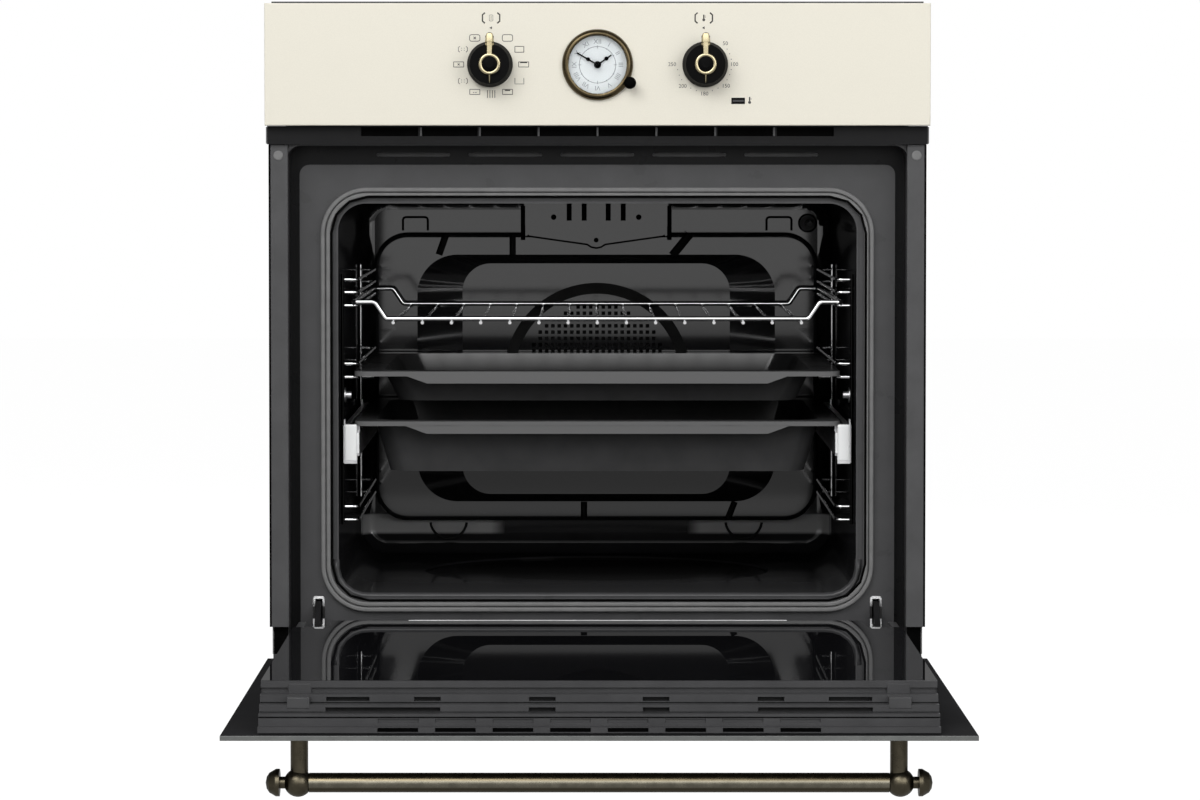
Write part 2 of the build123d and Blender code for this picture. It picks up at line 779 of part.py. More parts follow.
with BuildPart() as air_duct:
    for wall, mode in ((0, Mode.ADD), (DUCT_SHEET, Mode.SUBTRACT)):
        with BuildSketch(Plane.XY.offset(DUCT_BOTTOM + wall)):
            Polygon(
                (-DUCT_FRONT_HALF + wall, DUCT_FRONT),
                (DUCT_FRONT_HALF - wall, DUCT_FRONT),
                (BLOWER_HALF - wall, DUCT_BACK),
                (-BLOWER_HALF + wall, DUCT_BACK),
                align=None,
            )
        extrude(amount=DUCT_TOP - DUCT_BOTTOM - 2 * wall, mode=mode)
write(air_duct, "air_duct")

# Cooling blower: housing with its motor, and the drum wheel
blower_shell = (DUCT_BACK, DUCT_BACK + BLOWER_DEPTH)
with BuildPart() as cooling_blower:
    block((-BLOWER_HALF, BLOWER_HALF), blower_shell, (DUCT_BOTTOM, BLOWER_TOP))
    block(
        (-BLOWER_HALF + DUCT_SHEET, BLOWER_HALF - DUCT_SHEET),
        (DUCT_BACK + DUCT_SHEET, DUCT_BACK + BLOWER_DEPTH - DUCT_SHEET),
        (DUCT_BOTTOM + DUCT_SHEET, BLOWER_TOP - DUCT_SHEET),
        Mode.SUBTRACT,
    )
    block(
        (-BLOWER_HALF + DUCT_SHEET, BLOWER_HALF - DUCT_SHEET),
        (DUCT_BACK, DUCT_BACK + DUCT_SHEET),
        (DUCT_BOTTOM + DUCT_SHEET, DUCT_TOP - DUCT_SHEET),
        Mode.SUBTRACT,
    )
    with BuildSketch(Plane.XY.offset(BLOWER_TOP)):
        with Locations((0, BLOWER_Y)):
            with GridLocations(VENT_COLUMN_PITCH, VENT_PITCH, BACK_VENT_COLUMNS, BACK_VENT_COLUMNS):
                SlotOverall(VENT_LENGTH, VENT_HEIGHT)
    extrude(amount=-DUCT_SHEET, mode=Mode.SUBTRACT)
    rod(
        (BLOWER_HALF, BLOWER_Y, BLOWER_WHEEL_Z),
        (BLOWER_HALF + BLOWER_MOTOR_LENGTH, BLOWER_Y, BLOWER_WHEEL_Z),
        BLOWER_MOTOR_RADIUS,
    )
    rod(
        (-BLOWER_HALF, BLOWER_Y, BLOWER_WHEEL_Z),
        (BLOWER_HALF + BLOWER_MOTOR_LENGTH / 2, BLOWER_Y, BLOWER_WHEEL_Z),
        BLOWER_SHAFT + RUNNING_GAP,
        Mode.SUBTRACT,
    )
write(cooling_blower, "cooling_blower")

with BuildPart() as blower_wheel:
    for side in SIDES:
        rod(
            (side * (BLOWER_WHEEL_HALF - BLOWER_DISC), BLOWER_Y, BLOWER_WHEEL_Z),
            (side * BLOWER_WHEEL_HALF, BLOWER_Y, BLOWER_WHEEL_Z),
            BLOWER_WHEEL_RADIUS,
        )
    rod(
        (-BLOWER_HALF, BLOWER_Y, BLOWER_WHEEL_Z),
        (BLOWER_HALF + BLOWER_MOTOR_LENGTH / 2 - RUNNING_GAP, BLOWER_Y, BLOWER_WHEEL_Z),
        BLOWER_SHAFT,
    )
    with BuildSketch(Plane(origin=(-BLOWER_WHEEL_HALF, BLOWER_Y, BLOWER_WHEEL_Z), z_dir=(1, 0, 0))):
        with PolarLocations(BLOWER_WHEEL_RADIUS - BLOWER_BLADE / 2, BLOWER_BLADES):
            Rectangle(BLOWER_BLADE, DUCT_SHEET)
    extrude(amount=2 * BLOWER_WHEEL_HALF)
write(blower_wheel, "blower_wheel")

# Control panel
with BuildPart() as control_panel:
    panel_back = PANEL_FRONT + PANEL_RETURN
    block((-PANEL_HALF, PANEL_HALF), (PANEL_FRONT, panel_back), (PANEL_BOTTOM, PANEL_TOP))
    fillet(control_panel.faces().sort_by(Axis.Y)[0].edges(), PANEL_EDGE)
    block(
        (-PANEL_HALF + PANEL_SHEET, PANEL_HALF - PANEL_SHEET),
        (PANEL_FRONT + PANEL_SHEET, panel_back),
        (PANEL_BOTTOM + PANEL_SHEET, PANEL_TOP - PANEL_SHEET),
        Mode.SUBTRACT,
    )
    with BuildSketch(front_plane(PANEL_FRONT + PANEL_SHEET)):
        with Locations((-KNOB_X, KNOB_Z), (KNOB_X, KNOB_Z)):
            Circle(SPINDLE_HOLE)
        with Locations((0, CLOCK_Z)):
            Circle(BEZEL_SLEEVE + FIT_GAP)
        with Locations((SET_KNOB_X, SET_KNOB_Z)):
            Circle(SET_STEM + FIT_GAP)
        with Locations((PILOT_X, PILOT_Z)):
            Rectangle(PILOT_WIDTH, PILOT_HEIGHT)
    extrude(amount=PANEL_SHEET, mode=Mode.SUBTRACT)
write(control_panel, "control_panel")

with BuildPart() as panel_carrier:
    block(
        (-CARRIER_HALF, CARRIER_HALF),
        (CARRIER_FRONT, CARRIER_BACK),
        (CARRIER_BOTTOM, CARRIER_TOP),
    )
    block(
        (-CARRIER_HALF, CARRIER_HALF),
        (CARRIER_FRONT, CARRIER_FRONT + CARRIER_LEG),
        (CARRIER_TOP - CARRIER_SHEET, CARRIER_TOP),
    )
    block(
        (-CARRIER_HALF, CARRIER_HALF),
        (CARRIER_FRONT, 0),
        (CARRIER_BOTTOM, CARRIER_BOTTOM + CARRIER_SHEET),
    )
    for side in SIDES:
        block(
            pair(side, CASING_INNER - CARRIER_SHEET, CASING_INNER),
            (CARRIER_FRONT, CARRIER_FRONT + CARRIER_LEG),
            (CARRIER_EAR_BOTTOM, CARRIER_EAR_TOP),
        )
    with BuildSketch(front_plane(CARRIER_BACK)):
        with Locations((-KNOB_X, KNOB_Z), (KNOB_X, KNOB_Z)):
            Circle(SPINDLE_HOLE)
        with Locations((0, CLOCK_Z)):
            Circle(MOVEMENT_NECK + FIT_GAP)
        with Locations((SET_KNOB_X, SET_KNOB_Z)):
            Circle(SET_STEM + FIT_GAP)
        with Locations((PILOT_X, PILOT_Z)):
            Rectangle(PILOT_WIDTH, PILOT_HEIGHT)
    extrude(amount=CARRIER_SHEET, mode=Mode.SUBTRACT)
write(panel_carrier, "panel_carrier")

# Knobs and pointers
knob_back = PANEL_FRONT - KNOB_GAP
knob_face = knob_back - KNOB_HEIGHT
knob_outline = (
    (0, knob_back),
    (KNOB_RADIUS, knob_back),
    (KNOB_RADIUS, knob_back - KNOB_SKIRT),
    (KNOB_TOP_RADIUS, knob_face),
    (POINTER_RING_INNER, knob_face),
    (POINTER_RING_INNER, knob_face - POINTER_THICKNESS),
    (POINTER_RING_INNER / 2, knob_face - KNOB_DOME),
    (0, knob_face - KNOB_DOME),
)
tip_centre = POINTER_TIP - POINTER_TIP_WIDTH / 2
for knob_name, knob_x in (("function", -KNOB_X), ("temperature", KNOB_X)):
    with BuildPart() as knob:
        lathe((knob_x, 0, KNOB_Z), (0, 1, 0), knob_outline)
        rod((knob_x, knob_back, KNOB_Z), (knob_x, SPINDLE_BACK, KNOB_Z), SPINDLE_RADIUS)
        block(
            (knob_x - KNOB_NOSE_WIDTH / 2, knob_x + KNOB_NOSE_WIDTH / 2),
            (knob_face, knob_face + KNOB_NOSE_DEPTH),
            (KNOB_Z, KNOB_Z + tip_centre),
        )
    write(knob, f"{knob_name}_knob")
    with BuildPart() as pointer:
        with BuildSketch(front_plane(knob_face, knob_x, KNOB_Z)):
            Circle(POINTER_RING_OUTER)
            Polygon(
                (-POINTER_ROOT_WIDTH / 2, 0),
                (POINTER_ROOT_WIDTH / 2, 0),
                (POINTER_TIP_WIDTH / 2, tip_centre),
                (-POINTER_TIP_WIDTH / 2, tip_centre),
                align=None,
            )
            with Locations((0, tip_centre)):
                Circle(POINTER_TIP_WIDTH / 2)
            Rectangle(POINTER_TAIL_WIDTH, POINTER_TAIL, align=(Align.CENTER, Align.MAX))
            Circle(POINTER_RING_INNER, mode=Mode.SUBTRACT)
        extrude(amount=POINTER_THICKNESS)
        chamfer(pointer.faces().sort_by(Axis.Y)[0].edges(), POINTER_BEVEL)
    write(pointer, f"{knob_name}_pointer")

with BuildPart() as function_switch:
    block(
        (-KNOB_X - SWITCH_HALF, -KNOB_X + SWITCH_HALF),
        (CARRIER_BACK, CARRIER_BACK + SWITCH_DEPTH),
        (KNOB_Z - SWITCH_HALF, KNOB_Z + SWITCH_HALF),
    )
    chamfer(function_switch.edges().filter_by(Axis.Y), CARRIER_SHEET)
    rod(
        (-KNOB_X, CARRIER_BACK, KNOB_Z),
        (-KNOB_X, SPINDLE_BACK + RUNNING_GAP, KNOB_Z),
        SPINDLE_RADIUS + RUNNING_GAP,
        Mode.SUBTRACT,
    )
write(function_switch, "function_switch")

with BuildPart() as thermostat:
    rod(
        (KNOB_X, CARRIER_BACK, KNOB_Z),
        (KNOB_X, CARRIER_BACK + THERMOSTAT_DEPTH, KNOB_Z),
        THERMOSTAT_RADIUS,
    )
    rod(
        (KNOB_X, CARRIER_BACK, KNOB_Z),
        (KNOB_X, SPINDLE_BACK + RUNNING_GAP, KNOB_Z),
        SPINDLE_RADIUS + RUNNING_GAP,
        Mode.SUBTRACT,
    )
write(thermostat, "thermostat")

with BuildPart() as pilot_lamp:
    block(
        (PILOT_X - PILOT_WIDTH / 2 + FIT_GAP, PILOT_X + PILOT_WIDTH / 2 - FIT_GAP),
        (PANEL_FRONT - PILOT_PROUD, PILOT_BACK),
        (PILOT_Z - PILOT_HEIGHT / 2 + FIT_GAP, PILOT_Z + PILOT_HEIGHT / 2 - FIT_GAP),
    )
    fillet(pilot_lamp.faces().sort_by(Axis.Y)[0].edges(), PILOT_PROUD / 2)
write(pilot_lamp, "pilot_lamp")

# Clock
clock_center = (0, 0, CLOCK_Z)
bezel_front = PANEL_FRONT - BEZEL_PROUD
with BuildPart() as clock_bezel:
    lathe(
        clock_center,
        (0, 1, 0),
        (
            (BEZEL_LIP, GLASS_FRONT),
            (BEZEL_LIP, bezel_front + BEZEL_ROUND),
            (BEZEL_LIP + BEZEL_ROUND, bezel_front),
            (BEZEL_OUTER - 2 * BEZEL_ROUND, bezel_front),
            (BEZEL_OUTER, bezel_front + 2 * BEZEL_ROUND),
            (BEZEL_OUTER, PANEL_FRONT),
            (BEZEL_SLEEVE, PANEL_FRONT),
            (BEZEL_SLEEVE, BEZEL_SLEEVE_BACK),
            (BEZEL_BORE, BEZEL_SLEEVE_BACK),
            (BEZEL_BORE, GLASS_FRONT),
        ),
    )
write(clock_bezel, "clock_bezel")

with BuildPart() as clock_glass:
    rod((0, GLASS_FRONT, CLOCK_Z), (0, GLASS_FRONT + CLOCK_GLASS_THICKNESS, CLOCK_Z), BEZEL_BORE)
write(clock_glass, "clock_glass")

dial_back = DIAL_FRONT + DIAL_THICKNESS
with BuildPart() as clock_dial:
    rod((0, DIAL_FRONT, CLOCK_Z), (0, dial_back, CLOCK_Z), BEZEL_BORE)
    rod((0, DIAL_FRONT, CLOCK_Z), (0, dial_back, CLOCK_Z), HAND_POST, Mode.SUBTRACT)
write(clock_dial, "clock_dial")

with BuildPart() as clock_movement:
    rod((0, dial_back, CLOCK_Z), (0, CARRIER_BACK, CLOCK_Z), MOVEMENT_NECK)
    rod((0, HAND_POST_FRONT, CLOCK_Z), (0, dial_back, CLOCK_Z), HAND_POST)
    block(
        (-MOVEMENT_HALF, MOVEMENT_HALF),
        (CARRIER_BACK, MOVEMENT_BACK),
        (CLOCK_Z - MOVEMENT_HALF, CLOCK_Z + MOVEMENT_HALF),
    )
    rod(
        (SET_KNOB_X, CARRIER_BACK, SET_KNOB_Z),
        (SET_KNOB_X, SET_STEM_BACK + RUNNING_GAP, SET_KNOB_Z),
        SET_STEM + RUNNING_GAP,
        Mode.SUBTRACT,
    )
write(clock_movement, "clock_movement")

hand_sizes = (
    ("hour_hand", HOUR_ANGLE, HOUR_HAND_LENGTH, HOUR_HUB, HOUR_HAND_BACK),
    ("minute_hand", MINUTE_ANGLE, MINUTE_HAND_LENGTH, MINUTE_HUB, MINUTE_HAND_BACK),
)
for hand_name, angle, length, hub, back in hand_sizes:
    with BuildPart() as hand:
        with BuildSketch(front_plane(back, 0, CLOCK_Z)):
            Rectangle(
                HAND_WIDTH, length, rotation=-angle, align=(Align.CENTER, Align.MIN)
            )
            Circle(hub)
            with PolarLocations(HAND_DOT_REACH, 1, start_angle=90 - angle):
                Circle(HAND_DOT)
        extrude(amount=HAND_THICKNESS)
        if hand_name == "minute_hand":
            rod((0, MINUTE_HUB_FRONT, CLOCK_Z), (0, back, CLOCK_Z), hub)
        post_end = HAND_POST_FRONT - RUNNING_GAP
        rod((0, post_end, CLOCK_Z), (0, back, CLOCK_Z), HAND_POST + RUNNING_GAP, Mode.SUBTRACT)
    write(hand, hand_name)

with BuildPart() as clock_knob:
    with Locations((SET_KNOB_X, SET_KNOB_Y, SET_KNOB_Z)):
        Sphere(SET_KNOB_RADIUS)
    rod(
        (SET_KNOB_X, SET_KNOB_Y, SET_KNOB_Z),
        (SET_KNOB_X, SET_STEM_BACK, SET_KNOB_Z),
        SET_STEM,
    )
write(clock_knob, "clock_knob")

# Muffle, seal and insulation
with BuildPart() as muffle:
    slab(MUFFLE_FRONT, MUFFLE_OUTER_BACK, grown(MOUTH, MUFFLE_SHEET))
    fillet(muffle.faces().sort_by(Axis.Y)[-1].edges(), MUFFLE_EDGE + MUFFLE_SHEET)
    offset(amount=-MUFFLE_SHEET, openings=muffle.faces().sort_by(Axis.Y)[0])
    slab(MUFFLE_FRONT, MUFFLE_FRONT + MUFFLE_SHEET, grown(MOUTH, MUFFLE_FLANGE), MOUTH)
    roof_low = MOUTH_TOP + MUFFLE_SHEET / 2
    block(
        (-ROOF_HALF - MUFFLE_SHEET, ROOF_HALF + MUFFLE_SHEET),
        (ROOF_FRONT - MUFFLE_SHEET, ROOF_BACK + MUFFLE_SHEET),
        (roof_low, MOUTH_TOP + ROOF_RISE + MUFFLE_SHEET),
    )
    block(
        (-ROOF_HALF, ROOF_HALF),
        (ROOF_FRONT, ROOF_BACK),
        (MOUTH_TOP - MUFFLE_SHEET, MOUTH_TOP + ROOF_RISE),
        Mode.SUBTRACT,
    )
    press_floor = MOUTH_BOTTOM - FLOOR_PRESS_DROP
    with BuildSketch(Plane.XY.offset(press_floor - MUFFLE_SHEET)):
        with Locations((0, FLOOR_PRESS_Y)):
            Ellipse(FLOOR_PRESS_HALF + MUFFLE_SHEET, FLOOR_PRESS_DEPTH + MUFFLE_SHEET)
    extrude(amount=FLOOR_PRESS_DROP)
    with BuildSketch(Plane.XY.offset(press_floor)):
        with Locations((0, FLOOR_PRESS_Y)):
            Ellipse(FLOOR_PRESS_HALF, FLOOR_PRESS_DEPTH)
    extrude(amount=2 * FLOOR_PRESS_DROP, mode=Mode.SUBTRACT)
    rod((FAN_X, MUFFLE_BACK, FAN_Z), (FAN_X, MUFFLE_OUTER_BACK, FAN_Z), SHAFT_HOLE, Mode.SUBTRACT)
    for side in SIDES:
        rod(
            (FAN_X + side * RING_LEG_X, MUFFLE_BACK, FAN_Z - RING_RADIUS),
            (FAN_X + side * RING_LEG_X, MUFFLE_OUTER_BACK, FAN_Z - RING_RADIUS),
            TUBE_RADIUS,
            Mode.SUBTRACT,
        )
        for grill_loop in GRILL_LOOPS:
            rod(
                (side * grill_loop[0], ROOF_BACK, GRILL_Z),
                (side * grill_loop[0], ROOF_BACK + MUFFLE_SHEET, GRILL_Z),
                TUBE_RADIUS,
                Mode.SUBTRACT,
            )
    rod(
        (SENSOR_X, MUFFLE_BACK, SENSOR_Z),
        (SENSOR_X, MUFFLE_OUTER_BACK, SENSOR_Z),
        SENSOR_PROBE,
        Mode.SUBTRACT,
    )
    rod(
        (LAMP_X, LAMP_Y, MOUTH_TOP),
        (LAMP_X, LAMP_Y, MOUTH_TOP + MUFFLE_SHEET),
        LAMP_HOLE,
        Mode.SUBTRACT,
    )
write(muffle, "muffle")

with BuildPart() as door_gasket:
    bead = (SEAL_WIDTH - SEAL_GROOVE) / 2
    slab(SEAL_BASE, RAISED_FRONT, SEAL, grown(SEAL, -SEAL_WIDTH))
    slab(SEAL_FRONT, SEAL_BASE, SEAL, grown(SEAL, -bead))
    slab(SEAL_FRONT, SEAL_BASE, grown(SEAL, -bead - SEAL_GROOVE), grown(SEAL, -SEAL_WIDTH))
    fillet(door_gasket.faces().group_by(Axis.Y)[0].edges(), SEAL_ROUND)
write(door_gasket, "door_gasket")

with BuildPart() as insulation:
    block((-WOOL_HALF, WOOL_HALF), (WOOL_FRONT, WOOL_BACK), (WOOL_BOTTOM, WOOL_TOP))
    block(
        (-MOUTH_HALF - MUFFLE_SHEET - WOOL_GAP, MOUTH_HALF + MUFFLE_SHEET + WOOL_GAP),
        (WOOL_FRONT, MUFFLE_OUTER_BACK + WOOL_GAP),
        (WOOL_FLOOR, MOUTH_TOP + ROOF_RISE + MUFFLE_SHEET + WOOL_GAP),
        Mode.SUBTRACT,
    )
    for side in SIDES:
        block(
            pair(side, WOOL_NOTCH_HALF, WOOL_HALF),
            (WOOL_FRONT, WOOL_NOTCH_BACK),
            (WOOL_BOTTOM, WOOL_NOTCH_TOP),
            Mode.SUBTRACT,
        )
    wool_inner_back = MUFFLE_OUTER_BACK + WOOL_GAP
    rod((FAN_X, wool_inner_back, FAN_Z), (FAN_X, WOOL_BACK, FAN_Z), MOTOR_RECESS, Mode.SUBTRACT)
    for side in SIDES:
        rod(
            (FAN_X + side * RING_LEG_X, wool_inner_back, FAN_Z - RING_RADIUS),
            (FAN_X + side * RING_LEG_X, WOOL_BACK, FAN_Z - RING_RADIUS),
            TUBE_RADIUS + WOOL_GAP,
            Mode.SUBTRACT,
        )
    rod(
        (SENSOR_X, wool_inner_back, SENSOR_Z),
        (SENSOR_X, WOOL_BACK, SENSOR_Z),
        SENSOR_PROBE + WOOL_GAP,
        Mode.SUBTRACT,
    )
    rod(
        (LAMP_X, LAMP_Y, MOUTH_TOP + ROOF_RISE),
        (LAMP_X, LAMP_Y, WOOL_TOP),
        LAMP_SOCKET + WOOL_GAP,
        Mode.SUBTRACT,
    )
    leg_clear = max(loop[0] for loop in GRILL_LOOPS) + TUBE_RADIUS + WOOL_GAP
    block(
        (-leg_clear, leg_clear),
        (wool_inner_back, WOOL_BACK),
        (GRILL_Z - TUBE_RADIUS - WOOL_GAP, GRILL_Z + TUBE_RADIUS + WOOL_GAP),
        Mode.SUBTRACT,
    )
    base_leg_clear = BASE_ELEMENT_LEG + TUBE_RADIUS + WOOL_GAP
    block(
        (-base_leg_clear, base_leg_clear),
        (wool_inner_back, WOOL_BACK),
        (BASE_ELEMENT_Z - TUBE_RADIUS - WOOL_GAP, BASE_ELEMENT_Z + TUBE_RADIUS + WOOL_GAP),
        Mode.SUBTRACT,
    )
write(insulation, "insulation")

# Heating elements
with BuildPart() as grill_element:
    for leg_x, loop_half, loop_front, loop_back in GRILL_LOOPS:
        bent_rod(
            (
                (-leg_x, GRILL_BACK, GRILL_Z),
                (-leg_x, loop_back, GRILL_Z),
                (-loop_half, loop_back, GRILL_Z),
                (-loop_half, loop_front, GRILL_Z),
                (loop_half, loop_front, GRILL_Z),
                (loop_half, loop_back, GRILL_Z),
                (leg_x, loop_back, GRILL_Z),
                (leg_x, GRILL_BACK, GRILL_Z),
            ),
            TUBE_RADIUS,
            (TUBE_BEND if leg_x > TUBE_BEND else TUBE_BEND / 2),
        )
write(grill_element, "grill_element")

with BuildPart() as base_element:
    bent_rod(
        (
            (-BASE_ELEMENT_LEG, WOOL_BACK, BASE_ELEMENT_Z),
            (-BASE_ELEMENT_LEG, BASE_ELEMENT_BACK, BASE_ELEMENT_Z),
            (-BASE_ELEMENT_HALF, BASE_ELEMENT_BACK, BASE_ELEMENT_Z),
            (-BASE_ELEMENT_HALF, BASE_ELEMENT_FRONT, BASE_ELEMENT_Z),
            (BASE_ELEMENT_HALF, BASE_ELEMENT_FRONT, BASE_ELEMENT_Z),
            (BASE_ELEMENT_HALF, BASE_ELEMENT_BACK, BASE_ELEMENT_Z),
            (BASE_ELEMENT_LEG, BASE_ELEMENT_BACK, BASE_ELEMENT_Z),
            (BASE_ELEMENT_LEG, WOOL_BACK, BASE_ELEMENT_Z),
        ),
        TUBE_RADIUS,
        TUBE_BEND,
    )
write(base_element, "base_element")

with BuildPart() as ring_element:
    with Locations(front_plane(RING_Y, FAN_X, FAN_Z)):
        Torus(RING_RADIUS, TUBE_RADIUS)
    for side in SIDES:
        leg_x = FAN_X + side * RING_LEG_X
        leg_z = FAN_Z - RING_RADIUS
        rod((leg_x, RING_Y, leg_z), (leg_x, RING_LEG_BACK, leg_z), TUBE_RADIUS)
write(ring_element, "ring_element")

# Oven lamp with its lens, and temperature sensor
with BuildPart() as oven_lamp:
    bulb_top = MOUTH_TOP + MUFFLE_SHEET + BULB_LENGTH
    rod((LAMP_X, LAMP_Y, MOUTH_TOP), (LAMP_X, LAMP_Y, LAMP_SOCKET_TOP), LAMP_SOCKET)
    socket_bore = LAMP_SOCKET - LAMP_SOCKET_WALL
    rod((LAMP_X, LAMP_Y, MOUTH_TOP), (LAMP_X, LAMP_Y, bulb_top), socket_bore, Mode.SUBTRACT)
    rod((LAMP_X, LAMP_Y, MOUTH_TOP + MUFFLE_SHEET), (LAMP_X, LAMP_Y, bulb_top), BULB_RADIUS)
    lathe(
        (LAMP_X, LAMP_Y, 0),
        (0, 0, 1),
        (
            (0, MOUTH_TOP - FIT_GAP),
            (LAMP_LENS, MOUTH_TOP - FIT_GAP),
            (LAMP_LENS, MOUTH_TOP - LAMP_LENS_THICKNESS / 2),
            (LAMP_LENS - LAMP_LENS_THICKNESS / 2, MOUTH_TOP - LAMP_LENS_THICKNESS),
            (0, MOUTH_TOP - LAMP_LENS_THICKNESS),
        ),
    )
write(oven_lamp, "oven_lamp")

with BuildPart() as temperature_sensor:
    rod((SENSOR_X, SENSOR_TIP_Y, SENSOR_Z), (SENSOR_X, SENSOR_BACK, SENSOR_Z), SENSOR_PROBE)
    chamfer(temperature_sensor.faces().sort_by(Axis.Y)[0].edges(), SENSOR_CHAMFER)
    flange_front = MUFFLE_BACK - TAB_THICKNESS
    rod((SENSOR_X, flange_front, SENSOR_Z), (SENSOR_X, MUFFLE_BACK, SENSOR_Z), SENSOR_FLANGE)
write(temperature_sensor, "temperature_sensor")

# Fan cover over the fan and the ring element
with BuildPart() as fan_cover:
    slab(COVER_FRONT, MUFFLE_BACK, COVER)
    fillet(fan_cover.faces().sort_by(Axis.Y)[0].edges(), COVER_EDGE)
    offset(amount=-COVER_SHEET, openings=fan_cover.faces().sort_by(Axis.Y)[-1])
    pad_front = COVER_FRONT - PAD_RAISE
    for sheet, mode in ((0, Mode.ADD), (COVER_SHEET, Mode.SUBTRACT)):
        step_at = (COVER_FRONT + sheet, grown(STEP, -sheet))
        raised(step_at, (pad_front + sheet, grown(PAD, -sheet)), mode)
    with BuildSketch(front_plane(pad_front + GROOVE_DEPTH + COVER_SHEET, FAN_X, FAN_Z)):
        Circle(GROOVE_OUTER + COVER_SHEET)
        Circle(GROOVE_INNER - COVER_SHEET, mode=Mode.SUBTRACT)
    extrude(amount=GROOVE_DEPTH)
    with BuildSketch(front_plane(pad_front + GROOVE_DEPTH, FAN_X, FAN_Z)):
        Circle(GROOVE_OUTER)
        Circle(GROOVE_INNER, mode=Mode.SUBTRACT)
    extrude(amount=GROOVE_DEPTH, mode=Mode.SUBTRACT)
    for tab in TAB_LIMITS:
        block(tab, (MUFFLE_BACK - TAB_THICKNESS, MUFFLE_BACK), (COVER_TOP - COVER_SHEET, TAB_TOP))
    with BuildSketch(front_plane(MUFFLE_BACK)):
        with Locations((-BOSS_X, BOSS_Z), (BOSS_X, BOSS_Z)):
            Circle(BOSS_RADIUS)
        with Locations((0, COVER_BOTTOM + BOSS_RADIUS + COVER_SHEET)):
            Rectangle(2 * COVER_HALF, 2 * BOSS_RADIUS, mode=Mode.SUBTRACT)
    extrude(amount=TAB_THICKNESS)
    hole_cells = math.floor(HOLE_FIELD / HOLE_PITCH)
    with BuildSketch(front_plane(pad_front + COVER_SHEET, FAN_X, FAN_Z)):
        for row in range(-hole_cells, hole_cells + 1):
            reach = math.sqrt(HOLE_FIELD**2 - (row * HOLE_PITCH) ** 2)
            columns = 2 * math.floor((reach - HOLE_SIZE / 2) / HOLE_PITCH) + 1
            with Locations((0, row * HOLE_PITCH)):
                with GridLocations(HOLE_PITCH, HOLE_PITCH, columns, 1):
                    Rectangle(HOLE_SIZE, HOLE_SIZE)
    extrude(amount=COVER_SHEET, mode=Mode.SUBTRACT)
write(fan_cover, "fan_cover")

with BuildPart() as grill_bracket:
    with BuildSketch(front_plane(BRACKET_Y + BRACKET_SHEET)):
        Polygon(
            (-BRACKET_HALF, MOUTH_TOP),
            (-BRACKET_HALF, BRACKET_SIDE_Z),
            (-BRACKET_TIP_HALF, BRACKET_TIP_Z),
            (BRACKET_TIP_HALF, BRACKET_TIP_Z),
            (BRACKET_HALF, BRACKET_SIDE_Z),
            (BRACKET_HALF, MOUTH_TOP),
            align=None,
        )
        with Locations((-BRACKET_HOLE_X, BRACKET_HOLE_Z), (BRACKET_HOLE_X, BRACKET_HOLE_Z)):
            Circle(BRACKET_HOLE, mode=Mode.SUBTRACT)
        for slot_x in BRACKET_SLOT_XS:
            with Locations((slot_x, (BRACKET_SLOT_BOTTOM + MOUTH_TOP) / 2)):
                Rectangle(
                    BRACKET_SLOT_WIDTH, MOUTH_TOP - BRACKET_SLOT_BOTTOM, mode=Mode.SUBTRACT
                )
    extrude(amount=BRACKET_SHEET)
    block(
        (-BRACKET_HALF, BRACKET_HALF),
        (BRACKET_Y, BRACKET_Y + BRACKET_FOLD),
        (MOUTH_TOP - BRACKET_SHEET, MOUTH_TOP),
    )
write(grill_bracket, "grill_bracket")

# Convection fan with its shaft, and its motor behind the muffle
with BuildPart() as convection_fan:
    fan_back = FAN_FRONT + FAN_DEPTH
    rod((FAN_X, fan_back - FAN_PLATE, FAN_Z), (FAN_X, fan_back, FAN_Z), FAN_RADIUS)
    rod((FAN_X, FAN_FRONT, FAN_Z), (FAN_X, fan_back, FAN_Z), FAN_HUB)
    rod((FAN_X, fan_back, FAN_Z), (FAN_X, FAN_SHAFT_BACK, FAN_Z), FAN_SHAFT)
    with BuildSketch(front_plane(fan_back, FAN_X, FAN_Z)):
        with PolarLocations((FAN_RADIUS + FAN_BLADE_INNER) / 2, FAN_BLADES):
            Rectangle(FAN_RADIUS - FAN_BLADE_INNER, FAN_PLATE)
    extrude(amount=FAN_DEPTH)
write(convection_fan, "convection_fan")

with BuildPart() as fan_motor:
    rod((FAN_X, FAN_MOTOR_FRONT, FAN_Z), (FAN_X, FAN_MOTOR_BACK, FAN_Z), FAN_MOTOR_RADIUS)
    rod(
        (FAN_X, FAN_MOTOR_FRONT, FAN_Z),
        (FAN_X, FAN_MOTOR_FRONT + FAN_MOTOR_LEG, FAN_Z),
        FAN_MOTOR_PLATE,
    )
    for leg in range(3):
        leg_angle = math.radians(90 + 120 * leg)
        leg_x = FAN_X + FAN_MOTOR_LEG_CIRCLE * math.cos(leg_angle)
        leg_z = FAN_Z + FAN_MOTOR_LEG_CIRCLE * math.sin(leg_angle)
        rod((leg_x, MUFFLE_OUTER_BACK, leg_z), (leg_x, FAN_MOTOR_FRONT, leg_z), FAN_MOTOR_LEG)
    rod(
        (FAN_X, FAN_MOTOR_FRONT, FAN_Z),
        (FAN_X, FAN_SHAFT_BACK + RUNNING_GAP, FAN_Z),
        FAN_SHAFT + RUNNING_GAP,
        Mode.SUBTRACT,
    )
write(fan_motor, "fan_motor")

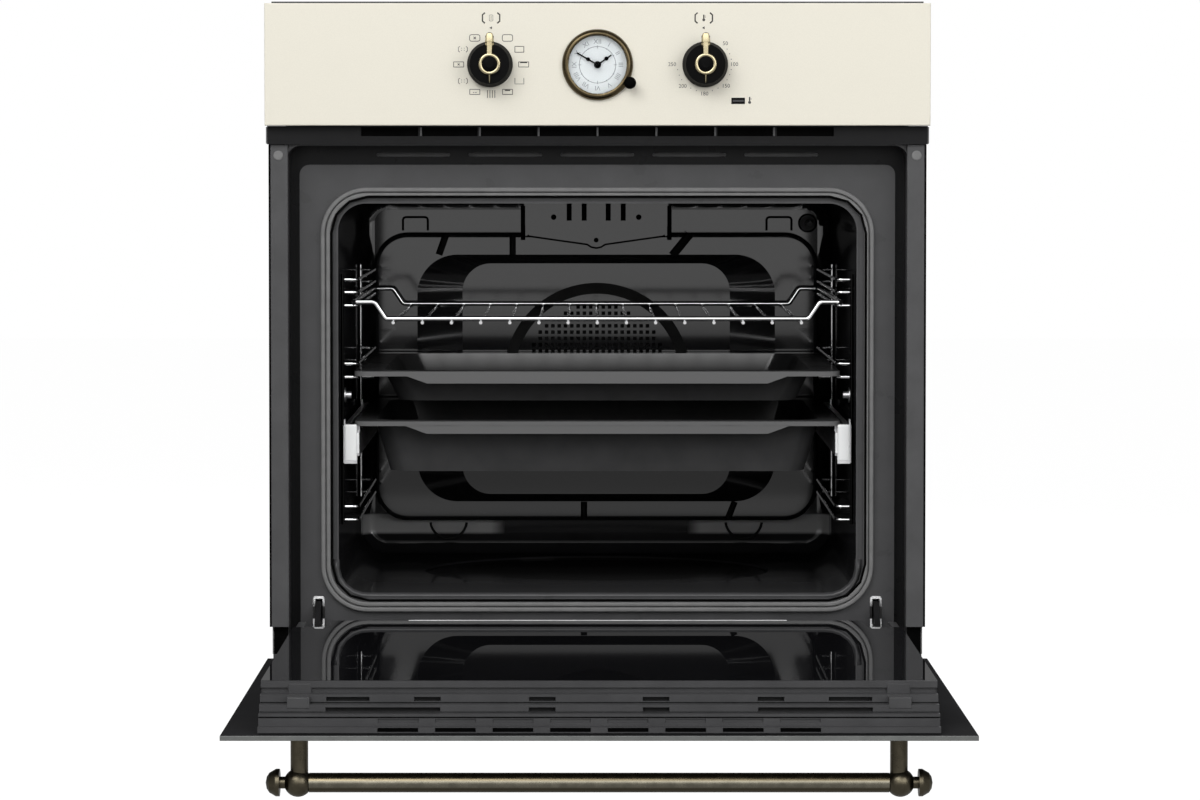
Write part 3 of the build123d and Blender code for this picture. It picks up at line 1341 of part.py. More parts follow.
# Side racks of welded wire
rail_heights = [
    RAIL_FIRST + level * RAIL_PITCH + rise for level in RAIL_LEVELS for rise in (0, ANTI_TIP_RISE)
]
rail_heights.append(RACK_TOP_RAIL)
for rack_name, side in (("rack_left", -1), ("rack_right", 1)):
    with BuildPart() as rack:
        for post_y in (RACK_FRONT, RACK_BACK):
            rod((side * RACK_X, post_y, RACK_BOTTOM), (side * RACK_X, post_y, RACK_TOP), WIRE_RADIUS)
        for rail_z in rail_heights:
            bent_rod(
                (
                    (side * RACK_X, RACK_FRONT, rail_z),
                    (side * RAIL_X, RACK_FRONT, rail_z),
                    (side * RAIL_X, RACK_BACK, rail_z),
                    (side * RACK_X, RACK_BACK, rail_z),
                ),
                RAIL_WIRE,
                RAIL_BEND,
            )
    write(rack, rack_name)

with BuildPart() as rack_fasteners:
    washer_x = RUNNER_OUTER - WASHER_THICKNESS
    nut_x = washer_x - NUT_LENGTH
    pin_y = RACK_BACK + WIRE_RADIUS + FIT_GAP + PIN_RADIUS
    for side in SIDES:
        rod((side * nut_x, NUT_Y, NUT_Z), (side * MOUTH_HALF, NUT_Y, NUT_Z), PIN_RADIUS)
        rod((side * nut_x, NUT_Y, NUT_Z), (side * washer_x, NUT_Y, NUT_Z), NUT_RADIUS)
        rod((side * washer_x, NUT_Y, NUT_Z), (side * RUNNER_OUTER, NUT_Y, NUT_Z), WASHER_RADIUS)
        rod((side * RAIL_OUTER_X, pin_y, NUT_Z), (side * MOUTH_HALF, pin_y, NUT_Z), PIN_RADIUS)
write(rack_fasteners, "rack_fasteners")

# Telescopic runners: fixed channel, middle member and slide
runner_middle_outer = RUNNER_OUTER - RUNNER_FIXED_WIDTH - RUNNER_GAP
runner_slide_outer = runner_middle_outer - RUNNER_MIDDLE_WIDTH - RUNNER_GAP
fixed_mid_z = (RUNNER_FIXED_BOTTOM + RUNNER_FIXED_TOP) / 2
with BuildPart() as runner_channels:
    for side in SIDES:
        block(
            pair(side, RUNNER_OUTER - RUNNER_FIXED_WIDTH, RUNNER_OUTER),
            (RUNNER_FRONT, RUNNER_BACK),
            (RUNNER_FIXED_BOTTOM, RUNNER_FIXED_TOP),
        )
        block(
            pair(side, RUNNER_OUTER - RUNNER_FIXED_WIDTH, RUNNER_OUTER - RUNNER_SHEET),
            (RUNNER_FRONT, RUNNER_BACK),
            (RUNNER_FIXED_BOTTOM + RUNNER_SHEET, RUNNER_FIXED_TOP - RUNNER_SHEET),
            Mode.SUBTRACT,
        )
        for post_y in (RACK_FRONT, RACK_BACK - 2 * RAIL_BEND):
            block(
                pair(side, RUNNER_OUTER - RUNNER_SHEET, RUNNER_OUTER),
                (post_y - RAIL_BEND, post_y + RAIL_BEND),
                (RUNNER_FIXED_TOP, RUNNER_FIXED_TOP + RAIL_BEND),
            )
write(runner_channels, "runner_channels")

with BuildPart() as runner_middles:
    for side in SIDES:
        block(
            pair(side, runner_middle_outer - RUNNER_MIDDLE_WIDTH, runner_middle_outer),
            (RUNNER_FRONT, RUNNER_BACK),
            (fixed_mid_z - RUNNER_MIDDLE_HEIGHT / 2, fixed_mid_z + RUNNER_MIDDLE_HEIGHT / 2),
        )
write(runner_middles, "runner_middles")

with BuildPart() as runner_slides:
    for side in SIDES:
        slide_xs = pair(side, runner_slide_outer - RUNNER_SLIDE_WIDTH, runner_slide_outer)
        block(
            slide_xs,
            (RUNNER_FRONT - RUNNER_SHEET, RUNNER_BACK),
            (RUNNER_SLIDE_BOTTOM, RUNNER_SLIDE_TOP),
        )
        for lug_y in LUG_YS:
            block(
                slide_xs,
                (lug_y - LUG_LENGTH / 2, lug_y + LUG_LENGTH / 2),
                (RUNNER_SLIDE_TOP, RUNNER_FIXED_TOP),
            )
        block(
            pair(side, *BLOCK_LIMITS),
            (RUNNER_FRONT - RUNNER_SHEET - BLOCK_DEPTH, RUNNER_FRONT - RUNNER_SHEET),
            (BLOCK_BOTTOM, BLOCK_TOP),
        )
write(runner_slides, "runner_slides")

# Wire shelf
shelf_z = RAIL_FIRST + max(RAIL_LEVELS) * RAIL_PITCH + RAIL_WIRE + REST_GAP + SHELF_ROD
shelf_middle = (SHELF_FRONT + SHELF_BACK) / 2
with BuildPart() as wire_shelf:
    for end_y in (SHELF_FRONT, SHELF_BACK):
        bent_rod(
            (
                (-SHELF_HALF, shelf_middle, shelf_z),
                (-SHELF_HALF, end_y, shelf_z),
                (-SHELF_DIP_OUTER, end_y, shelf_z),
                (-SHELF_DIP_INNER, end_y, shelf_z - SHELF_DIP),
                (SHELF_DIP_INNER, end_y, shelf_z - SHELF_DIP),
                (SHELF_DIP_OUTER, end_y, shelf_z),
                (SHELF_HALF, end_y, shelf_z),
                (SHELF_HALF, shelf_middle, shelf_z),
            ),
            SHELF_ROD,
            SHELF_BEND,
        )
    wire_z = shelf_z - SHELF_DIP - SHELF_ROD - WIRE_RADIUS + FIT_GAP
    for wire in range(SHELF_WIRES):
        wire_x = (wire - (SHELF_WIRES - 1) / 2) * SHELF_WIRE_PITCH
        rod(
            (wire_x, SHELF_FRONT - SHELF_WIRE_OVERHANG, wire_z),
            (wire_x, SHELF_BACK + SHELF_WIRE_OVERHANG, wire_z),
            WIRE_RADIUS,
        )
write(wire_shelf, "wire_shelf")


def tray_plan(z, inset):
    """Rounded plan of a tray at height z, with its sides an inset inside the rim."""
    with BuildSketch(Plane.XY.offset(z)) as plan:
        with Locations((0, (TRAY_FRONT + TRAY_BACK) / 2)):
            RectangleRounded(
                2 * (TRAY_HALF - inset[0]), TRAY_BACK - TRAY_FRONT - 2 * inset[1], inset[2]
            )
    return plan.sketch


def tray_body(rim_low, rim_top, bottom, inner):
    """Rim, sloped walls and floor of a tray, hollow from above, in the part being built."""
    wall = TRAY_HALF - inner
    extrude(tray_plan(rim_low, (0, 0, TRAY_CORNER)), amount=rim_top - rim_low)
    for inset, low, mode in ((0, bottom, Mode.ADD), (TRAY_SHEET, bottom + TRAY_SHEET, Mode.SUBTRACT)):
        mouth = tray_plan(rim_top, (wall + inset, TRAY_END_RIM + inset, TRAY_INNER_CORNER))
        floor = tray_plan(
            low, (wall + TRAY_TAPER + inset, TRAY_END_RIM + TRAY_END_TAPER + inset, TRAY_INNER_CORNER)
        )
        loft([mouth.faces()[0], floor.faces()[0]], mode=mode)


# Shallow tray on the third rail, with its deeper lip in the middle of the front
shallow_low = RAIL_FIRST + 2 * RAIL_PITCH + RAIL_WIRE + REST_GAP
with BuildPart() as shallow_tray:
    tray_body(shallow_low, shallow_low + SHALLOW_RIM, SHALLOW_BOTTOM, SHALLOW_INNER)
    with BuildSketch(front_plane(TRAY_FRONT + TRAY_SHEET)):
        Polygon(
            (-LIP_DROP_OUTER, shallow_low + TRAY_SHEET),
            (-LIP_DROP_INNER, shallow_low - LIP_DROP),
            (LIP_DROP_INNER, shallow_low - LIP_DROP),
            (LIP_DROP_OUTER, shallow_low + TRAY_SHEET),
            align=None,
        )
    extrude(amount=TRAY_SHEET)
write(shallow_tray, "shallow_tray")

# Deep tray on the telescopic runners
with BuildPart() as deep_tray:
    tray_body(RUNNER_FIXED_TOP, RUNNER_FIXED_TOP + DEEP_RIM, DEEP_BOTTOM, DEEP_INNER)
write(deep_tray, "deep_tray")

# Door glass
with BuildPart() as outer_glass:
    glass_hs = (OUTER_GLASS_LOW, OUTER_GLASS_LOW + OUTER_GLASS_THICKNESS)
    door_block(
        (-OUTER_GLASS_HALF, OUTER_GLASS_HALF), (OUTER_GLASS_START, OUTER_GLASS_END), glass_hs
    )
    fillet(outer_glass.edges().filter_by(Axis.Z), GLASS_CORNER)
    for side in SIDES:
        stud = (side * POST_X, HINGE_Y - HANDLE_D)
        rod(
            (*stud, HINGE_Z + glass_hs[0]),
            (*stud, HINGE_Z + glass_hs[1]),
            STUD_HOLE,
            Mode.SUBTRACT,
        )
write(outer_glass, "outer_glass")

with BuildPart() as inner_glass:
    inner_hs = (INNER_GLASS_LOW, INNER_GLASS_LOW + INNER_GLASS_THICKNESS)
    door_block(
        (-INNER_GLASS_HALF, INNER_GLASS_HALF), (INNER_GLASS_START, INNER_GLASS_END), inner_hs
    )
    for side in SIDES:
        door_block(
            pair(side, CUTOUT_X, INNER_GLASS_HALF),
            (INNER_GLASS_START, CUTOUT_END),
            inner_hs,
            Mode.SUBTRACT,
        )
    fillet(inner_glass.edges().filter_by(Axis.Z), GLASS_CORNER)
write(inner_glass, "inner_glass")

with BuildPart() as middle_glass:
    door_block(
        (-MIDDLE_GLASS_HALF, MIDDLE_GLASS_HALF),
        (MIDDLE_GLASS_START, MIDDLE_GLASS_END),
        (MIDDLE_GLASS_LOW, MIDDLE_GLASS_LOW + MIDDLE_GLASS_THICKNESS),
    )
write(middle_glass, "middle_glass")

# Side profiles of the door: foot on the outer glass, web, flange under the inner glass
# and a shelf that carries the middle glass
outer_top = OUTER_GLASS_LOW + OUTER_GLASS_THICKNESS
with BuildPart() as door_profiles:
    for side in SIDES:
        length = (PROFILE_START, PROFILE_END)
        foot_top = outer_top + PROFILE_SHEET
        door_block(pair(side, PROFILE_FOOT, INNER_GLASS_HALF), length, (outer_top, foot_top))
        door_block(
            pair(side, INNER_GLASS_HALF - PROFILE_SHEET, INNER_GLASS_HALF),
            length,
            (outer_top, INNER_GLASS_LOW),
        )
        door_block(
            pair(side, INNER_GLASS_HALF - PROFILE_FLANGE, INNER_GLASS_HALF),
            length,
            (INNER_GLASS_LOW - PROFILE_SHEET, INNER_GLASS_LOW),
        )
        door_block(
            pair(side, PROFILE_INNER, PROFILE_INNER + PROFILE_SHEET),
            (MIDDLE_GLASS_START, PROFILE_END),
            (outer_top, MIDDLE_GLASS_LOW),
        )
        door_block(
            pair(side, PROFILE_SHELF, PROFILE_INNER + PROFILE_SHEET),
            (MIDDLE_GLASS_START, PROFILE_END),
            (MIDDLE_GLASS_LOW - PROFILE_SHEET, MIDDLE_GLASS_LOW),
        )
        door_block(
            pair(side, PROFILE_FOOT, STAIR_HALF - STAIR_SHEET - FIT_GAP),
            (PROFILE_END, HANDLE_D + POST_FOOT),
            (outer_top, foot_top),
        )
write(door_profiles, "door_profiles")

# Stepped top trim of the door, with its rows of air slots and its two clips
stair_low = outer_top + STAIR_SHEET
stair_tread = (STAIR_END - STAIR_START - STAIR_FIRST_TREAD) / len(STAIR_RISERS)
stair_scale = (STAIR_TOP - stair_low) / sum(STAIR_RISERS)
stair_outer = [(STAIR_START, STAIR_TOP), (STAIR_START + STAIR_FIRST_TREAD, STAIR_TOP)]
for riser in STAIR_RISERS:
    stair_d, stair_h = stair_outer[-1]
    stair_outer.append((stair_d, stair_h - riser * stair_scale))
    stair_outer.append((stair_d + stair_tread, stair_h - riser * stair_scale))
stair_inner = [(d - STAIR_SHEET, h - STAIR_SHEET) for d, h in stair_outer[1:]]
stair_inner[-1] = (STAIR_END, outer_top)
stair_start_low = (STAIR_START, STAIR_TOP - STAIR_SHEET)
with BuildPart() as door_top_trim:
    with BuildSketch(door_plane(-STAIR_HALF)):
        with BuildLine():
            Polyline(*stair_outer, *reversed(stair_inner), stair_start_low, close=True)
        make_face()
    extrude(amount=-2 * STAIR_HALF)
    for side in SIDES:
        with BuildSketch(door_plane(side * STAIR_HALF)):
            with BuildLine():
                Polyline(*stair_outer, (STAIR_END, outer_top), (STAIR_START, outer_top), close=True)
            make_face()
        extrude(amount=side * STAIR_SHEET)
    for riser_d, riser_low in (stair_outer[-2], stair_outer[-4]):
        slot_low = riser_low + STAIR_SHEET
        for slot in range(STAIR_SLOTS):
            slot_x = (slot - (STAIR_SLOTS - 1) / 2) * STAIR_SLOT_PITCH
            door_block(
                (slot_x - STAIR_SLOT_LENGTH / 2, slot_x + STAIR_SLOT_LENGTH / 2),
                (riser_d - STAIR_SHEET, riser_d),
                (slot_low, slot_low + STAIR_SLOT_HEIGHT),
                Mode.SUBTRACT,
            )
    for gap, mode in ((CLIP_GAP, Mode.SUBTRACT), (0, Mode.ADD)):
        for side in SIDES:
            door_block(
                pair(side, CLIP_X - CLIP_WIDTH / 2 - gap, CLIP_X + CLIP_WIDTH / 2 + gap),
                (CLIP_START, CLIP_END + gap),
                (CLIP_LOW - gap, CLIP_TOP + gap),
                mode,
            )
write(door_top_trim, "door_top_trim")

# Bright strip along the glass edge next to the oven
with BuildPart() as glass_ledge:
    door_block(
        (-LEDGE_HALF, LEDGE_HALF),
        (INNER_GLASS_START - LEDGE_SHEET, INNER_GLASS_START),
        (LEDGE_LOW, LEDGE_TOP),
    )
    door_block(
        (-LEDGE_HALF, LEDGE_HALF),
        (INNER_GLASS_START, INNER_GLASS_START + LEDGE_LOW),
        (INNER_GLASS_LOW - LEDGE_SHEET, INNER_GLASS_LOW),
    )
write(glass_ledge, "glass_ledge")

# Hinge receivers in the slots of the front frame
slot_mid = (SLOT_BOTTOM + SLOT_TOP) / 2
receiver_width = SLOT_WIDTH - 2 * RECEIVER_GAP
receiver_zs = (SLOT_BOTTOM + RECEIVER_GAP, SLOT_TOP - RECEIVER_GAP)
receiver_ys = (RAISED_FRONT - RECEIVER_PROUD, RECEIVER_BACK)
with BuildPart() as hinge_receivers:
    for side in SIDES:
        outer_xs = pair(side, SLOT_X - receiver_width / 2, SLOT_X + receiver_width / 2)
        block(outer_xs, receiver_ys, receiver_zs)
    fillet(hinge_receivers.edges().filter_by(Axis.Y), RECEIVER_CORNER)
    for side in SIDES:
        inner_half = receiver_width / 2 - RECEIVER_WALL
        block(
            pair(side, SLOT_X - inner_half, SLOT_X + inner_half),
            receiver_ys,
            (receiver_zs[0] + RECEIVER_WALL, receiver_zs[1] - RECEIVER_WALL),
            Mode.SUBTRACT,
        )
        ear_start = SLOT_X + receiver_width / 2 - RECEIVER_WALL
        block(
            pair(side, ear_start, ear_start + RECEIVER_EAR),
            (MUFFLE_FRONT, MUFFLE_FRONT + RECEIVER_EAR_SHEET),
            (slot_mid - RECEIVER_EAR, slot_mid + RECEIVER_EAR),
        )
write(hinge_receivers, "hinge_receivers")

# Hinge arms: eye on the pin, shoulder through the slot, hook under the receiver's floor
with BuildPart() as hinge_arms:
    for side in SIDES:
        with BuildSketch(Plane.YZ.offset(side * SLOT_X)):
            with Locations((HINGE_Y, HINGE_Z)):
                Circle(ARM_EYE)
            Polygon(
                (HINGE_Y, HINGE_Z - ARM_EYE),
                (ARM_SHOULDER_Y, ARM_BOTTOM),
                (ARM_BACK, ARM_BOTTOM),
                (ARM_BACK, ARM_TOP),
                (ARM_SHOULDER_Y, ARM_TOP),
                (HINGE_Y, HINGE_Z + ARM_EYE),
                align=None,
            )
            with Locations((HINGE_Y, HINGE_Z)):
                Circle(HINGE_PIN + RUNNING_GAP, mode=Mode.SUBTRACT)
            with Locations((ARM_HOOK_Y, ARM_BOTTOM)):
                Rectangle(ARM_HOOK, 2 * ARM_HOOK, mode=Mode.SUBTRACT)
        extrude(amount=ARM_THICKNESS / 2, both=True)
write(hinge_arms, "hinge_arms")

# Hinge bodies in the door: two cheeks joined by a web, the pin across them and the spring
cheek_inner = ARM_THICKNESS / 2 + CHEEK_GAP
cheek_outer = cheek_inner + CHEEK_SHEET
with BuildPart() as hinge_bodies:
    for side in SIDES:
        with BuildSketch(door_plane(side * SLOT_X)):
            Circle(CHEEK_END)
            Polygon(
                (0, -CHEEK_END),
                (CHEEK_SHOULDER, CHEEK_LOW),
                (CHEEK_LENGTH, CHEEK_LOW),
                (CHEEK_LENGTH, CHEEK_HIGH),
                (CHEEK_SHOULDER, CHEEK_HIGH),
                (0, CHEEK_END),
                align=None,
            )
        extrude(amount=cheek_outer, both=True)
        door_block(
            (side * SLOT_X - cheek_inner, side * SLOT_X + cheek_inner),
            (-ARM_EYE - CHEEK_GAP, CHEEK_LENGTH),
            (CHEEK_LOW + CHEEK_SHEET, CHEEK_HIGH),
            Mode.SUBTRACT,
        )
        door_block(
            (side * SLOT_X - cheek_inner, side * SLOT_X + cheek_inner),
            (-ARM_EYE - CHEEK_GAP, ARM_EYE + CHEEK_GAP + SPRING_ANCHOR),
            (CHEEK_LOW, CHEEK_LOW + CHEEK_SHEET),
            Mode.SUBTRACT,
        )
        rod(
            (side * SLOT_X - cheek_outer, HINGE_Y, HINGE_Z),
            (side * SLOT_X + cheek_outer, HINGE_Y, HINGE_Z),
            HINGE_PIN,
        )
        for anchor in (SPRING_START, SPRING_END):
            door_block(
                (side * SLOT_X - cheek_inner, side * SLOT_X + cheek_inner),
                (anchor - SPRING_ANCHOR, anchor),
                (CHEEK_LOW + CHEEK_SHEET, SPRING_OUTER),
            )
        spring_start = (side * SLOT_X, HINGE_Y - SPRING_START - FIT_GAP, HINGE_Z)
        spring_end = (side * SLOT_X, HINGE_Y - SPRING_END + SPRING_ANCHOR + FIT_GAP, HINGE_Z)
        rod(spring_start, spring_end, SPRING_OUTER)
        rod(spring_start, spring_end, SPRING_INNER, Mode.SUBTRACT)
write(hinge_bodies, "hinge_bodies")

# Handle: bar, and two posts with a ball, a neck and a mushroom end
handle_y = HINGE_Y - HANDLE_D
handle_z = HINGE_Z + HANDLE_H
with BuildPart() as handle_bar:
    rod((-BALL_FLAT, handle_y, handle_z), (BALL_FLAT, handle_y, handle_z), BAR_RADIUS)
    for side in SIDES:
        rod(
            (side * (BALL_FLAT - SPIGOT_LENGTH), handle_y, handle_z),
            (side * BALL_FLAT, handle_y, handle_z),
            BAR_SPIGOT,
            Mode.SUBTRACT,
        )
write(handle_bar, "handle_bar")

with BuildPart() as handle_posts:
    for side in SIDES:
        with Locations((side * BALL_X, handle_y, handle_z)):
            Sphere(BALL_RADIUS)
        block(
            pair(side, BALL_X - 2 * BALL_RADIUS, BALL_FLAT),
            (handle_y - BALL_RADIUS, handle_y + BALL_RADIUS),
            (handle_z - BALL_RADIUS, handle_z + BALL_RADIUS),
            Mode.SUBTRACT,
        )
        rod(
            (side * (BALL_FLAT - SPIGOT_LENGTH), handle_y, handle_z),
            (side * BALL_X, handle_y, handle_z),
            BAR_SPIGOT,
        )
        lathe(
            (0, handle_y, handle_z),
            (side, 0, 0),
            (
                (0, BALL_X),
                (NECK_RADIUS, BALL_X),
                (NECK_RADIUS, NECK_END),
                (FINIAL_RADIUS, NECK_END),
                (FINIAL_RADIUS, NECK_END + FINIAL_EDGE),
                (FINIAL_RADIUS - FINIAL_EDGE, FINIAL_END - FINIAL_EDGE),
                (FINIAL_RADIUS - 2 * FINIAL_EDGE, FINIAL_END - FINIAL_EDGE / 3),
                (0, FINIAL_END),
            ),
        )
        foot_top = HINGE_Z + OUTER_GLASS_LOW
        rod((side * POST_X, handle_y, handle_z), (side * POST_X, handle_y, foot_top), POST_RADIUS)
        rod(
            (side * POST_X, handle_y, foot_top - POST_FOOT_HEIGHT),
            (side * POST_X, handle_y, foot_top),
            POST_FOOT,
        )
        rod(
            (side * POST_X, handle_y, foot_top),
            (side * POST_X, handle_y, HINGE_Z + outer_top),
            POST_STUD,
        )
write(handle_posts, "handle_posts")
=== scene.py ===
import json
import math

import bmesh
import bpy
from bpy.props import FloatProperty, FloatVectorProperty, IntProperty, PointerProperty
from mathutils import Matrix, Vector


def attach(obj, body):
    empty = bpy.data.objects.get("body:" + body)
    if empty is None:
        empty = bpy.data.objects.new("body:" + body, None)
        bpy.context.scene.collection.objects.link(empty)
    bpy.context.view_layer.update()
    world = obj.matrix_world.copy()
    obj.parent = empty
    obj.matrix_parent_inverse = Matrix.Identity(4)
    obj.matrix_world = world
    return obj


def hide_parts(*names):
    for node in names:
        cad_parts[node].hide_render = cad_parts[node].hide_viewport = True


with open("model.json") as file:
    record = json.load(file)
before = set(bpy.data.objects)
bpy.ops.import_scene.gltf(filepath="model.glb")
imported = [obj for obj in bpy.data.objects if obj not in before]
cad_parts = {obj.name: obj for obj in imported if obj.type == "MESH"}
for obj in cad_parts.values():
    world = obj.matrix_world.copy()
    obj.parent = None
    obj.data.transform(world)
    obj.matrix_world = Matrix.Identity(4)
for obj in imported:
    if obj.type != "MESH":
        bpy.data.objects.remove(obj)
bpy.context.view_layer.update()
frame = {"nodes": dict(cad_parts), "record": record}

bl_info = {
    "name": "Built-in oven",
    "version": (1, 0, 0),
    "blender": (4, 5, 0),
    "location": "View3D > Sidebar > Oven",
    "description": "Dresses a classic built-in oven with its door open",
    "category": "Add Mesh",
}

MM = 0.001
SIDES = (-1, 1)


# Sizes and colours that a user would change


class OvenColours(bpy.types.PropertyGroup):
    """Colours of the oven's finishes"""

    ivory: FloatVectorProperty(
        name="Ivory enamel", description="Control panel", subtype="COLOR",
        size=4, min=0.0, max=1.0, default=(0.80, 0.765, 0.66, 1.0),
    )
    frame_black: FloatVectorProperty(
        name="Front frame enamel", description="Satin frame round the mouth", subtype="COLOR",
        size=4, min=0.0, max=1.0, default=(0.056, 0.056, 0.058, 1.0),
    )
    cavity_black: FloatVectorProperty(
        name="Cavity enamel", description="Glossy enamel of the cavity and trays",
        subtype="COLOR", size=4, min=0.0, max=1.0, default=(0.014, 0.014, 0.015, 1.0),
    )
    brass: FloatVectorProperty(
        name="Pale brass", description="Pointers of the knobs", subtype="COLOR",
        size=4, min=0.0, max=1.0, default=(0.47, 0.41, 0.26, 1.0),
    )
    bronze: FloatVectorProperty(
        name="Handle bronze", description="Handle bar and posts", subtype="COLOR",
        size=4, min=0.0, max=1.0, default=(0.20, 0.186, 0.145, 1.0),
    )


class OvenSizes(bpy.types.PropertyGroup):
    """Sizes of the pieces that are added to the oven"""

    print_thickness: FloatProperty(
        name="Print thickness", description="Height of the marks over the panel",
        default=0.08 * MM, min=0.01 * MM, max=0.5 * MM, unit="LENGTH",
    )


class OvenStage(bpy.types.PropertyGroup):
    """Floor, lights and room of the stage"""

    floor_drop: FloatProperty(
        name="Floor drop", description="Distance of the floor below the oven",
        default=0.30, min=0.06, max=2.0, unit="LENGTH",
    )
    key_power: FloatProperty(
        name="Key light", description="Power of the large soft light", default=54.0, min=0.0,
        max=500.0,
    )
    fill_power: FloatProperty(
        name="Fill light", description="Power of the side light", default=22.0, min=0.0, max=500.0,
    )
    rear_power: FloatProperty(
        name="Rear light", description="Power of the light behind the oven", default=35.0, min=0.0,
        max=500.0,
    )
    card_power: FloatProperty(
        name="Front card", description="Power of the long soft light over the camera",
        default=32.0, min=0.0, max=500.0,
    )
    dim_room: FloatProperty(
        name="Room behind", description="Brightness that reflections see away from the front",
        default=0.2, min=0.0, max=1.0,
    )
    sky: FloatProperty(
        name="Room light", description="Brightness of the room round the oven", default=0.5,
        min=0.0, max=1.0,
    )


# Node groups that several finishes share


def group_sockets(group, inputs, outputs):
    """Make a group's own sockets and hand back its input and output nodes."""
    for name, kind, value in inputs:
        socket = group.interface.new_socket(name=name, in_out="INPUT", socket_type=kind)
        if value is not None:
            socket.default_value = value
    for name, kind in outputs:
        group.interface.new_socket(name=name, in_out="OUTPUT", socket_type=kind)
    return group.nodes.new("NodeGroupInput"), group.nodes.new("NodeGroupOutput")


def mottle_group():
    """Cloudy change of colour and gloss over a surface."""
    group = bpy.data.node_groups.get("mottle")
    if group:
        return group
    group = bpy.data.node_groups.new("mottle", "ShaderNodeTree")
    start, end = group_sockets(
        group,
        (
            ("Vector", "NodeSocketVector", None),
            ("Scale", "NodeSocketFloat", 20.0),
            ("Dark", "NodeSocketColor", (0.1, 0.1, 0.1, 1.0)),
            ("Light", "NodeSocketColor", (0.2, 0.2, 0.2, 1.0)),
            ("Smooth", "NodeSocketFloat", 0.3),
            ("Rough", "NodeSocketFloat", 0.5),
        ),
        (
            ("Color", "NodeSocketColor"),
            ("Roughness", "NodeSocketFloat"),
            ("Mask", "NodeSocketFloat"),
        ),
    )
    noise = group.nodes.new("ShaderNodeTexNoise")
    noise.inputs["Detail"].default_value = 5.0
    spread = group.nodes.new("ShaderNodeMapRange")
    spread.inputs["From Min"].default_value = 0.3
    spread.inputs["From Max"].default_value = 0.7
    blend = group.nodes.new("ShaderNodeMix")
    blend.data_type = "RGBA"
    gloss = group.nodes.new("ShaderNodeMapRange")
    link = group.links.new
    link(start.outputs["Vector"], noise.inputs["Vector"])
    link(start.outputs["Scale"], noise.inputs["Scale"])
    link(noise.outputs["Fac"], spread.inputs["Value"])
    link(spread.outputs["Result"], blend.inputs[0])
    link(start.outputs["Dark"], blend.inputs[6])
    link(start.outputs["Light"], blend.inputs[7])
    link(spread.outputs["Result"], gloss.inputs["Value"])
    link(start.outputs["Smooth"], gloss.inputs["To Min"])
    link(start.outputs["Rough"], gloss.inputs["To Max"])
    link(blend.outputs[2], end.inputs["Color"])
    link(gloss.outputs["Result"], end.inputs["Roughness"])
    link(spread.outputs["Result"], end.inputs["Mask"])
    return group


def grain_group():
    """Fine bumps of a sprayed, fired or cast surface, as a normal."""
    group = bpy.data.node_groups.get("grain")
    if group:
        return group
    group = bpy.data.node_groups.new("grain", "ShaderNodeTree")
    start, end = group_sockets(
        group,
        (
            ("Vector", "NodeSocketVector", None),
            ("Scale", "NodeSocketFloat", 600.0),
            ("Height", "NodeSocketFloat", 0.00005),
        ),
        (("Normal", "NodeSocketVector"), ("Mask", "NodeSocketFloat")),
    )
    noise = group.nodes.new("ShaderNodeTexNoise")
    noise.inputs["Detail"].default_value = 3.0
    bump = group.nodes.new("ShaderNodeBump")
    link = group.links.new
    link(start.outputs["Vector"], noise.inputs["Vector"])
    link(start.outputs["Scale"], noise.inputs["Scale"])
    link(noise.outputs["Fac"], bump.inputs["Height"])
    link(start.outputs["Height"], bump.inputs["Distance"])
    link(bump.outputs["Normal"], end.inputs["Normal"])
    link(noise.outputs["Fac"], end.inputs["Mask"])
    return group


def spangle_group():
    """Crystals of a zinc coat, each with its own shade."""
    group = bpy.data.node_groups.get("spangle")
    if group:
        return group
    group = bpy.data.node_groups.new("spangle", "ShaderNodeTree")
    start, end = group_sockets(
        group,
        (
            ("Vector", "NodeSocketVector", None),
            ("Scale", "NodeSocketFloat", 90.0),
            ("Dark", "NodeSocketColor", (0.3, 0.3, 0.3, 1.0)),
            ("Light", "NodeSocketColor", (0.6, 0.6, 0.6, 1.0)),
        ),
        (("Color", "NodeSocketColor"), ("Mask", "NodeSocketFloat")),
    )
    cells = group.nodes.new("ShaderNodeTexVoronoi")
    shade = group.nodes.new("ShaderNodeSeparateColor")
    blend = group.nodes.new("ShaderNodeMix")
    blend.data_type = "RGBA"
    link = group.links.new
    link(start.outputs["Vector"], cells.inputs["Vector"])
    link(start.outputs["Scale"], cells.inputs["Scale"])
    link(cells.outputs["Color"], shade.inputs["Color"])
    link(shade.outputs["Red"], blend.inputs[0])
    link(start.outputs["Dark"], blend.inputs[6])
    link(start.outputs["Light"], blend.inputs[7])
    link(blend.outputs[2], end.inputs["Color"])
    link(shade.outputs["Green"], end.inputs["Mask"])
    return group


# Finishes


def shades(colour, spread):
    """A darker and a lighter shade of a colour."""
    dark = [max(0.0, part * (1 - spread)) for part in colour[:3]] + [1.0]
    light = [min(1.0, part * (1 + spread)) for part in colour[:3]] + [1.0]
    return dark, light


def surface_coordinates(material, stretch=(1.0, 1.0, 1.0)):
    """Object coordinates of a material, stretched along the axes."""
    nodes = material.node_tree.nodes
    place = nodes.new("ShaderNodeTexCoord")
    mapping = nodes.new("ShaderNodeMapping")
    mapping.inputs["Scale"].default_value = stretch
    material.node_tree.links.new(place.outputs["Object"], mapping.inputs["Vector"])
    return mapping.outputs["Vector"]


